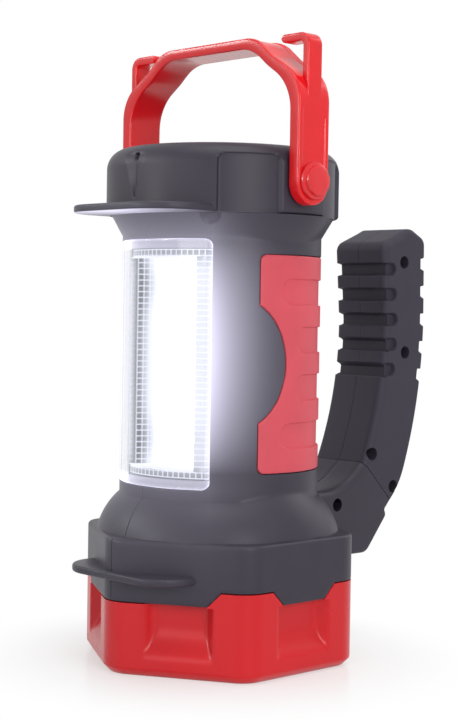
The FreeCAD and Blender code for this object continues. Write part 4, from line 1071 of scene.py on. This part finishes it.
cap_turn = np.radians(lines(-180, 180, 0.8, [0], np.linspace(-8, 8, 60)))[None, :]
sweep = np.linspace(0, math.pi / 2, 22)[:, None]
foot_sweep = np.linspace(0, math.pi / 2, 6)[:, None]
side_level = np.linspace(cap_top - cap_round, cap_low + cap_foot_round, 44)[1:-1, None]
side_reach = cap_radius + 0 * side_level
top_rings = np.array(cap_top_rings)[:, None]
brow_reach = cap_radius - cap_round + cap_round * np.sin(sweep)
brow_level = cap_top - cap_round + cap_round * np.cos(sweep)
cap_foot_reach = cap_radius - cap_foot_round + cap_foot_round * np.cos(foot_sweep)
cap_foot_level = cap_low + cap_foot_round - cap_foot_round * np.sin(foot_sweep)
cap_reach = np.concatenate([top_rings, brow_reach, side_reach, cap_foot_reach]) + 0 * cap_turn
cap_level = np.concatenate([cap_top + 0 * top_rings, brow_level, side_level, cap_foot_level]) + 0 * cap_turn
pressed = cap_pressed(cap_turn, cap_level)
cap_reach = np.where(cap_reach > 30, soft_min(cap_reach, cap_radius - pressed, 0.02), cap_reach)
cap_reach = np.where(cap_level < mark_high, cap_reach - cap_marked(cap_turn, cap_level), cap_reach)
cap_tail = np.array([(cap_foot_inside, cap_low), (plug_radius, cap_low), (plug_radius, plug_low),
                     (0.0, plug_low)])
cap_points = around(np.concatenate([cap_reach, cap_tail[:, :1] + 0 * cap_turn]), cap_turn,
                    np.concatenate([cap_level, cap_tail[:, 1:] + 0 * cap_turn]))
cap_x = cap_points[..., 0]
cap_points[..., 0] = np.sign(cap_x) * soft_min(np.abs(cap_x), cap_flat, cap_flat_blend)
top_visor = visor_points(top_visor_reach, top_visor_half, top_visor_corner, cap_low)


def visor_light(points):
    """Light of the window on the visor: strong on its underside in front, faint on its edge."""
    turn = np.degrees(np.arctan2(points[:, 0], -points[:, 1]))
    near = np.exp(-(turn / visor_light_spread) ** 2) * (np.hypot(points[:, 0], points[:, 1]) > body_radius)
    level = points[:, 2] - cap_low
    return near * (visor_edge_light * (level < 4) + visor_under_light * (level < 0.2))


cap_plastic = glowing(finish("cap_plastic", black, **satin))
cap_surfaces = [surface(cap_points), surface(top_visor), surface(top_visor[[0, -1]])]
make_piece("battery_cap", cap_surfaces, cap_plastic, "cap", ["top_cap"], glow=visor_light)


# Bail pivots: two headed pins with a step on the head, moulded in red plastic. They go through the bail's
# legs into the cap's bosses.
pivot_back = -1.8
pivot_level = 203.5
bail_inside = 50.2
bail_outside = 55.9
pivot_head_low = 56.2
pivot_head_top = 59.5
pin_radius = 3.0
pin_end = 41.0
head_steps = [(7.7, pivot_head_low), (7.7, pivot_head_low + 0.8), (7.55, pivot_head_low + 1.15),
              (7.2, pivot_head_low + 1.3), (6.5, pivot_head_low + 1.3), (6.32, pivot_head_low + 1.4),
              (6.3, pivot_head_low + 1.6), (6.3, pivot_head_top - 0.75), (6.08, pivot_head_top - 0.22),
              (5.55, pivot_head_top), (pin_radius, pivot_head_top), (0, pivot_head_top)]
pivot_profile = np.array([(0, pin_end), (pin_radius, pin_end), (pin_radius, pivot_head_low)] + head_steps)
pivot_red = finish("pivot_red", tone(220, 34, 42), 0.2, grain=0.8, depth=0.004, spread=0.05)
pins = [turned(pivot_profile * np.array([1, sign]), 6, (0, pivot_back, pivot_level), "X") for sign in (1, -1)]
make_piece("bail_pins", pins, pivot_red, "cap", ["bail_pivots"])


# Bail: a red strap with raised rims, bent over two shoulders, moulded in one piece with a hook on each
# shoulder. It swings on the two pins, with a round pad about each.
bail_half = 8.9
bail_edge = 0.9
bail_rim = 2.4
bail_rim_rise = 0.5
bail_pad = 7.7
bail_web_soft = 0.7
bail_columns = (6.95, 6.7, 6.5, 6.3, 6.05, 5.6, 4.0, 2.0, 0.0)
bail_shoulder = 244.6
bail_end = pivot_level - 1.0
bail_runs = [5.7, 5.0, 5.0, 4.5]
crest_level = 263.7
shoulder_end = (39.5, 255.2)
crest_half = 29.2
shoulder_round = 16.0
valley_round = 20.0
crest_round = 16.0
shoulder_inside = 20.0
valley_inside = 25.0
crest_inside = 20.0
hook_low = 237.0
hook_root_below = 6.0
hook_root_fade = 8.0
hook_root_inside = 50.5
hook_root_blend = 5.0


def moved_run(points, distances):
    """Runs moved to their left by their own distances, and the points where they meet again."""
    points = np.array(points, dtype=float)
    along = unit(np.diff(points, axis=0))
    normal = np.stack([-along[:, 1], along[:, 0]], axis=1)
    starts = points[:-1] + normal * np.array(distances)[:, None]
    gap = starts[1:] - starts[:-1]
    cross = along[:-1, 0] * along[1:, 1] - along[:-1, 1] * along[1:, 0]
    reach = (gap[:, 0] * along[1:, 1] - gap[:, 1] * along[1:, 0]) / cross
    meets = starts[:-1] + along[:-1] * reach[:, None]
    return np.concatenate([starts[:1], meets, points[-1:] + normal[-1:] * distances[-1]])


outer_corners = [(bail_outside, bail_end), (bail_outside, bail_shoulder), shoulder_end,
                 (crest_half, crest_level), (0.0, crest_level)]
inner_corners = moved_run(outer_corners, bail_runs)
outer_line = rounded_run(outer_corners, [shoulder_round, valley_round, crest_round], 30, 22)
inner_line = rounded_run(inner_corners, [shoulder_inside, valley_inside, crest_inside], 30, 22)
end_sweep = np.linspace(math.pi / 2, 0, 16, endpoint=False)
end_outer = np.stack([np.full(16, bail_outside), bail_end - bail_half * np.sin(end_sweep)], axis=1)
end_inner = end_outer * np.array([0, 1]) + np.array([bail_inside, 0])
outer_half_line = np.concatenate([end_outer, outer_line])
inner_half_line = np.concatenate([end_inner, inner_line])
flip = np.array([-1, 1])
outer_all = np.concatenate([outer_half_line, (outer_half_line * flip)[-2::-1]])
inner_all = np.concatenate([inner_half_line, (inner_half_line * flip)[-2::-1]])
below = np.clip(bail_end - outer_all[:, 1], 0, bail_half)
half_width = np.sqrt(np.maximum(bail_half ** 2 - below ** 2, 0))[:, None]

sweep = np.linspace(math.pi / 2, 0, 6)
face_across = np.concatenate([bail_half - bail_edge + bail_edge * np.sin(sweep), bail_columns]) / bail_half
face_across = np.concatenate([face_across, -face_across[-2::-1]])
across_all = half_width * face_across
off_pivot = np.hypot(across_all, outer_all[:, 1:] - pivot_level)
off_end = np.hypot(across_all, outer_all[:, 1:] - bail_end)
from_edge = np.where(outer_all[:, 1:] < bail_end, bail_half - off_end, bail_half - np.abs(across_all))
on_leg = np.abs(outer_all[:, :1]) > bail_outside - 1e-6
off_hook = np.maximum(ramp(hook_low - hook_root_below - outer_all[:, 1:], hook_root_fade),
                      ramp(hook_root_inside - np.abs(outer_all[:, :1]), hook_root_blend))
off_pad = np.where(on_leg, ramp(off_pivot - bail_pad, bail_web_soft), 1)
web = ramp(from_edge - bail_rim, bail_web_soft) * off_pad * off_hook
inner_drop = edge_drop(np.maximum(from_edge, 0), bail_edge)
face_drop = inner_drop + bail_rim_rise * web
share = np.concatenate([0 * face_across, 0 * face_across + 1, [0.0]])
offset = np.concatenate([face_drop, -inner_drop[:, ::-1], face_drop[:, :1]], axis=1)
across = np.concatenate([across_all, across_all[:, ::-1], across_all[:, :1]], axis=1)
strap_across, strap_x, strap_z = carried(outer_all, inner_all, across, offset, share)
strap = np.stack([strap_x, strap_across + pivot_back, strap_z], axis=-1)

hook_half = 4.1
hook_thickness = 3.5
hook_tip = 40.0
hook_top = 263.9
hook_round = 5.2
hook_edge = 0.7
hook_sunk = 0.05
hook_tip_round = 1.6
hook_end = hook_tip + hook_tip_round
hook_inside = bail_outside - hook_thickness
hook_under = hook_top - hook_thickness
hook_outer = rounded_run([(bail_outside - hook_sunk, hook_low), (bail_outside, hook_top),
                          (hook_end, hook_top)], [hook_round])
hook_inner = rounded_run([(hook_inside, hook_low), (hook_inside, hook_under), (hook_end, hook_under)],
                         [hook_round - hook_thickness])
tip_sweep = np.linspace(0, math.pi / 2, 8)[1:]
tip_middle = hook_top - hook_thickness / 2
tip_x = hook_end - hook_tip_round * np.sin(tip_sweep)
tip_rise = hook_thickness / 2 * np.cos(tip_sweep)
hook_outer = np.concatenate([hook_outer, np.stack([tip_x, tip_middle + tip_rise], axis=1)])
hook_inner = np.concatenate([hook_inner, np.stack([tip_x, tip_middle - tip_rise], axis=1)])
hook_across, hook_offset, hook_share = half_section(hook_half, hook_edge, hook_edge, 4, False)
hook_size = np.linalg.norm(hook_outer - hook_inner, axis=1)[:, None]
hook_offset = hook_offset * np.minimum(1, 0.45 * hook_size / hook_edge)
hook_side, hook_x, hook_z = carried(hook_outer, hook_inner, hook_across, hook_offset, hook_share)
hooks = []
for sign in (1, -1):
    for hand in (1, -1):
        hooks.append(surface(np.stack([sign * hook_x, hand * hook_side + pivot_back, hook_z], axis=-1)))
bail_red = finish("bail_red", tone(226, 22, 30), 0.2, grain=0.6, depth=0.004, spread=0.06,
                  Specular_IOR_Level=0.4)
make_piece("bail_strap", [surface(strap)] + hooks, bail_red, "bail", ["bail"])


# Pistol grip: two black moulded halves on the slanted swivel, with finger grooves across the inner face and
# the back. Four screws in round recesses on the right side hold the halves together.
grip_round = 4.0
grip_edge = 1.2
inner_bend = np.array([90.45, 147.0])
outer_bend = np.array([118.0, 147.0])
outer_knee = np.array([105.4, 76.9])
inner_head = np.array([87.75, 182.5])
outer_head = np.array([117.4, 185.0])
grip_peak = np.array([107.9, 190.7])
inner_bow = 3.7
outer_bow = 3.05
heel_bow = 1.0
brow_round = 5.0
groove_half = 2.8
face_groove_depth = 3.2
side_groove_depth = 2.2
side_groove_reach = 7.9
groove_blend = 0.8
inner_groove_top = 98.85
inner_groove_pitch = 11.7
outer_groove_top = 102.05
outer_groove_pitch = 13.3
head_split = 5.0
core_below = 7.0
heel_row = 24
heel_fade_rows = 36
inner_groove_levels = joint_level + inner_groove_top - inner_groove_pitch * np.arange(5)
outer_groove_levels = joint_level + outer_groove_top - outer_groove_pitch * np.arange(5)
grip_screws = [(joint_back + back, joint_level + rise)
               for back, rise in ((16.25, 102.35), (17.95, 59.95), (-3.7, 12.95), (11.0, -2.95))]


def bowed_line(foot, bend, bow, count=60):
    """Arc from a foot to a bend that bows backwards from its chord."""
    half = np.linalg.norm(bend - foot) / 2
    along = (bend - foot) / (2 * half)
    radius = (half ** 2 + bow ** 2) / (2 * bow)
    place = np.linspace(-half, half, count)[:, None]
    bulge = np.sqrt(radius ** 2 - place ** 2) - (radius - bow)
    return (foot + bend) / 2 + along * place + np.array([along[1], -along[0]]) * bulge


gap_shift = np.array([joint_gap, joint_gap])
roof = rounded_run([inner_bend, inner_head, grip_peak, outer_head, outer_bend], [brow_round] * 3, 40, 14)
split_in = int(np.argmax(roof[:, 1] > inner_head[1] - head_split))
split_out = len(roof) - int(np.argmax(roof[::-1, 1] > outer_head[1] - head_split))
inner_face = resample(np.concatenate([bowed_line(joint_high + gap_shift, inner_bend, inner_bow)[:-1],
                                      roof[:split_in + 1]]), 260)
roof_face = resample(roof[split_in:split_out], 70)
outer_back = bowed_line(outer_knee, outer_bend, outer_bow)[-2::-1]
outer_heel = bowed_line(joint_low + gap_shift, outer_knee, heel_bow)[-2::-1]
outer_face = resample(np.concatenate([roof[split_out - 1:], outer_back, outer_heel]), 260)
outline = np.concatenate([inner_face, roof_face[1:-1], outer_face])
core = (inner_face + outer_face[::-1]) / 2
core[:, 1] = np.minimum(core[:, 1], inner_head[1] - core_below)
middle_line = np.concatenate([core, np.repeat(core[-1:], len(roof_face) - 2, axis=0), core[::-1]])
toward = middle_line - outline
reach = np.linalg.norm(toward, axis=1)[:, None]
toward = toward / reach
along = unit(np.gradient(outline, axis=0))
inward = np.stack([along[:, 1], -along[:, 0]], axis=1)
slant = np.clip(np.abs(np.sum(inward * toward, axis=1)), 0.6, 1)[:, None]

station = np.arange(len(outline))
before_heel = len(inner_face) + len(roof_face) - heel_row - station
edge_round = grip_edge + (grip_round - grip_edge) * ramp(before_heel, heel_fade_rows)[:, None]
sweep = np.linspace(0, math.pi / 2, 10)[None, :]
flat = lines(0, 1, 0.1, (0,), (0.01, 0.025))[None, :-1] * (arm_half - edge_round)
side_share = np.concatenate([np.linspace(0, 0.75, 46), [0.83, 0.91, 1.0]])[None, 1:]
grip_across = np.concatenate([flat, arm_half - edge_round + edge_round * np.sin(sweep)], axis=1)
grip_inset = np.concatenate([edge_drop(flat, seam_round), edge_round * (1 - np.cos(sweep))], axis=1)


def near_levels(level, levels):
    """Soft 0 to 1 mask of the grooves at the given levels."""
    off = np.abs(level[:, None] - levels[None, :]).min(axis=1)
    return ramp(groove_half - off, groove_blend)[:, None]


on_inner = (station < len(inner_face))[:, None]
on_outer = (station >= len(outline) - len(outer_face))[:, None]
face_groove = np.where(on_inner, near_levels(outline[:, 1], inner_groove_levels), 0)
face_groove = np.where(on_outer, near_levels(outline[:, 1], outer_groove_levels), face_groove)
face_groove = face_groove * face_groove_depth
grip_inset = soft_max(grip_inset, face_groove + 0 * grip_inset, 0.5)
grip_depth = grip_inset / slant
side_depth = edge_round / slant + (reach - edge_round / slant) * side_share
side_depth = np.maximum(side_depth, face_groove / slant)
grip_depth = np.concatenate([grip_depth, side_depth], axis=1)
grip_across = np.concatenate([grip_across, arm_half + 0 * side_depth], axis=1)
grip_back = outline[:, :1] + toward[:, :1] * grip_depth
grip_level = outline[:, 1:] + toward[:, 1:] * grip_depth


def side_grooves(back, level):
    """Soft 0 to 1 mask of the grooves' round ends on the grip's side."""
    mask = 0 * back
    for groove in inner_groove_levels:
        face = np.interp(groove, inner_face[:, 1], inner_face[:, 0])
        slot = rounded_box(back - face, level - groove, side_groove_reach, groove_half, groove_half * 0.95)
        mask = np.maximum(mask, ramp(-slot, groove_blend))
    return mask


def grip_surfaces(has_recesses):
    """Right half of the grip: from the seam over the rounded edge and down the side to the middle."""
    back, level, keep = grip_back, grip_level, None
    if has_recesses:
        back, level, keep = trim(back, level, recess_edge(grip_screws, grip_across))
    across = np.minimum(grip_across, arm_half - side_groove_depth * side_grooves(back, level))
    points = np.stack([across, back, level], axis=-1)
    found = with_recesses(points, keep, grip_screws) if has_recesses else [surface(points)]
    for end in (points[0], points[-1]):
        found.append(fan(end, (points[0, 0] + points[-1, 0]) / 2))
    return found


grip_plastic = finish("grip_plastic", tone(57, 53, 65), 0.6, grain=0.35, depth=0.014, Specular_IOR_Level=0.25)
for hand, sign in HANDS:
    make_piece(hand + "_grip", mirrored(grip_surfaces(sign > 0), sign), grip_plastic, "grip",
               [hand + "_grip_half"])


# Screws: steel pan heads with a cross recess, deep in their round recesses in the arm and the grip. Two more
# hold the tube together under the right panel.
screw_head_radius = 2.7
screw_head_height = 1.8
screw_head_side = 1.2
screw_head_round = 0.4
screw_crown = 0.15
cross_half = 0.35
cross_reach = 1.5
cross_depth = 0.9
cross_soft = 0.3
screw_length = 14.0
screw_radius = 1.4
screw_point = 2.0


def screw_surfaces(back, level):
    """Pan head with a cross: a round grid whose middle drops in four arms, on a turned side and shank."""
    turn = np.radians(np.arange(0, 366, 6))[None, :]
    face_edge = screw_head_radius - screw_head_round
    radius = np.linspace(0, face_edge, 12)[:, None]
    across = radius * np.cos(turn)
    rise = radius * np.sin(turn)
    narrow = np.minimum(np.abs(across), np.abs(rise)) - cross_half
    arms = np.maximum(narrow, np.maximum(np.abs(across), np.abs(rise)) - cross_reach)
    crown = screw_seat + screw_head_height - screw_crown * (radius / screw_head_radius) ** 2
    top = crown - cross_depth * ramp(-arms, cross_soft)
    face = np.stack([top, back + across, level + rise], axis=-1)
    profile = [(face_edge, top[-1].max()), (screw_head_radius, screw_seat + screw_head_side),
               (screw_head_radius, screw_seat), (screw_radius, screw_seat),
               (screw_radius, screw_seat - screw_length + screw_point), (0, screw_seat - screw_length)]
    side = turned(profile, 6, (0, back, level), "X")
    return [surface(face), side]


tube_screw_back = 33.0
tube_screws = [(tube_screw_back, tube_low + rise) for rise in (16.6, 52.6)]
screw_steel = finish("screw_steel", tone(120, 122, 128), 0.35, grain=0.4, depth=0.01, Metallic=1.0)
for name, places, body, node in (("body_screws", [arm_screw] + tube_screws, "housing", "shell_screws"),
                                 ("handle_screws", grip_screws, "grip", "grip_screws")):
    heads = [part for y, z in places for part in screw_surfaces(y, z)]
    make_piece(name, heads, screw_steel, body, [node])


# Stage: a pale sweep under soft boxes, three of which only show as gleams in gloss. The floor keeps a light
# shadow near the lantern and fades to white. Lamps and the reach of the shadow are in metres.
room_light = 0.36
floor_half = 4000
floor_drop = 0.05
shadow_reach = 0.05
shadow_end = 0.12
shadow_white = 0.55


def white_when_seen(tree, plain, kind):
    """Plain light for the room, and white for rays from the camera and for those seen in gloss and glass."""
    path = add_node(tree, "LightPath")
    seen = path.outputs["Is Camera Ray"]
    for ray in ("Is Glossy Ray", "Is Transmission Ray"):
        either = add_node(tree, "Math", operation="MAXIMUM")
        join(tree, (seen, either.inputs[0]), (path.outputs[ray], either.inputs[1]))
        seen = either.outputs["Value"]
    white = add_node(tree, kind, {"Color": (1, 1, 1, 1), "Strength": 1.0})
    mix = add_node(tree, "MixShader")
    join(tree, (seen, mix.inputs["Fac"]), (plain.outputs[0], mix.inputs[1]),
         (white.outputs[0], mix.inputs[2]))
    return mix


world = bpy.data.worlds.new("studio")
world.use_nodes = True
scene.world = world
sky = world.node_tree
room = sky.nodes["Background"]
room.inputs["Color"].default_value = (1.0, 1.0, 1.0, 1)
room.inputs["Strength"].default_value = room_light
studio = white_when_seen(sky, room, "Background")
join(sky, (studio.outputs["Shader"], sky.nodes["World Output"].inputs["Surface"]))

floor_place = np.linspace(-floor_half, floor_half, 9)
floor_x, floor_y = np.meshgrid(floor_place, floor_place)
floor_points, floor_quads = surface(np.stack([floor_x, floor_y, 0 * floor_x - floor_drop], axis=-1))
floor_mesh = bpy.data.meshes.new("floor")
floor_mesh.from_pydata((floor_points / 1000).tolist(), [], floor_quads.tolist())
floor = bpy.data.objects.new("floor", floor_mesh)
scene.collection.objects.link(floor)
floor_white = finish("floor_white", tone(246, 246, 247), 0.2, grain=6, depth=0.002, clouds=400, spread=0.01,
                     Specular_IOR_Level=0.25)
floor_mesh.materials.append(floor_white)
floor_tree = floor_white.node_tree
shaded = floor_tree.nodes["Principled BSDF"]
off_middle = add_node(floor_tree, "VectorMath", operation="LENGTH")
shadow = {"From Min": shadow_reach, "From Max": shadow_end, "To Min": shadow_white, "To Max": 1.0}
fade = add_node(floor_tree, "MapRange", shadow, interpolation_type="SMOOTHSTEP")
far_white = white_when_seen(floor_tree, shaded, "Emission")
blend = add_node(floor_tree, "MixShader")
join(floor_tree, (floor_tree.nodes["Texture Coordinate"].outputs["Object"], off_middle.inputs[0]),
     (off_middle.outputs["Value"], fade.inputs["Value"]), (fade.outputs["Result"], blend.inputs["Fac"]),
     (shaded.outputs["BSDF"], blend.inputs[1]), (far_white.outputs["Shader"], blend.inputs[2]),
     (blend.outputs["Shader"], floor_tree.nodes["Material Output"].inputs["Surface"]))

lamp_aim = Vector((0, 0, 0.12))
soft_boxes = {
    "overhead": ((0.2, -0.1, 1.1), 0.7, 4.2, True),
    "key": ((-0.5, -1.1, 0.7), 0.6, 2.2, True),
    "side": ((1.25, -0.4, 0.5), 0.5, 6.8, True),
    "rim": ((0.3, 1.2, 0.9), 0.6, 2.5, True),
    "sheen": ((0.3, -1.27, 0.25), 0.8, 3.4, False),
    "glint": ((-0.44, -1.18, 0.37), 0.2, 3.0, False),
    "gleam": ((-0.95, -0.79, 0.66), 0.2, 3.0, False),
}
for name, (place, size, power, lights) in soft_boxes.items():
    lamp = bpy.data.lights.new(name, "AREA")
    lamp.size = size
    lamp.energy = power
    box = bpy.data.objects.new(name, lamp)
    box.location = place
    box.visible_diffuse = lights
    box.rotation_mode = "QUATERNION"
    box.rotation_quaternion = (lamp_aim - Vector(place)).to_track_quat("-Z", "Y")
    scene.collection.objects.link(box)
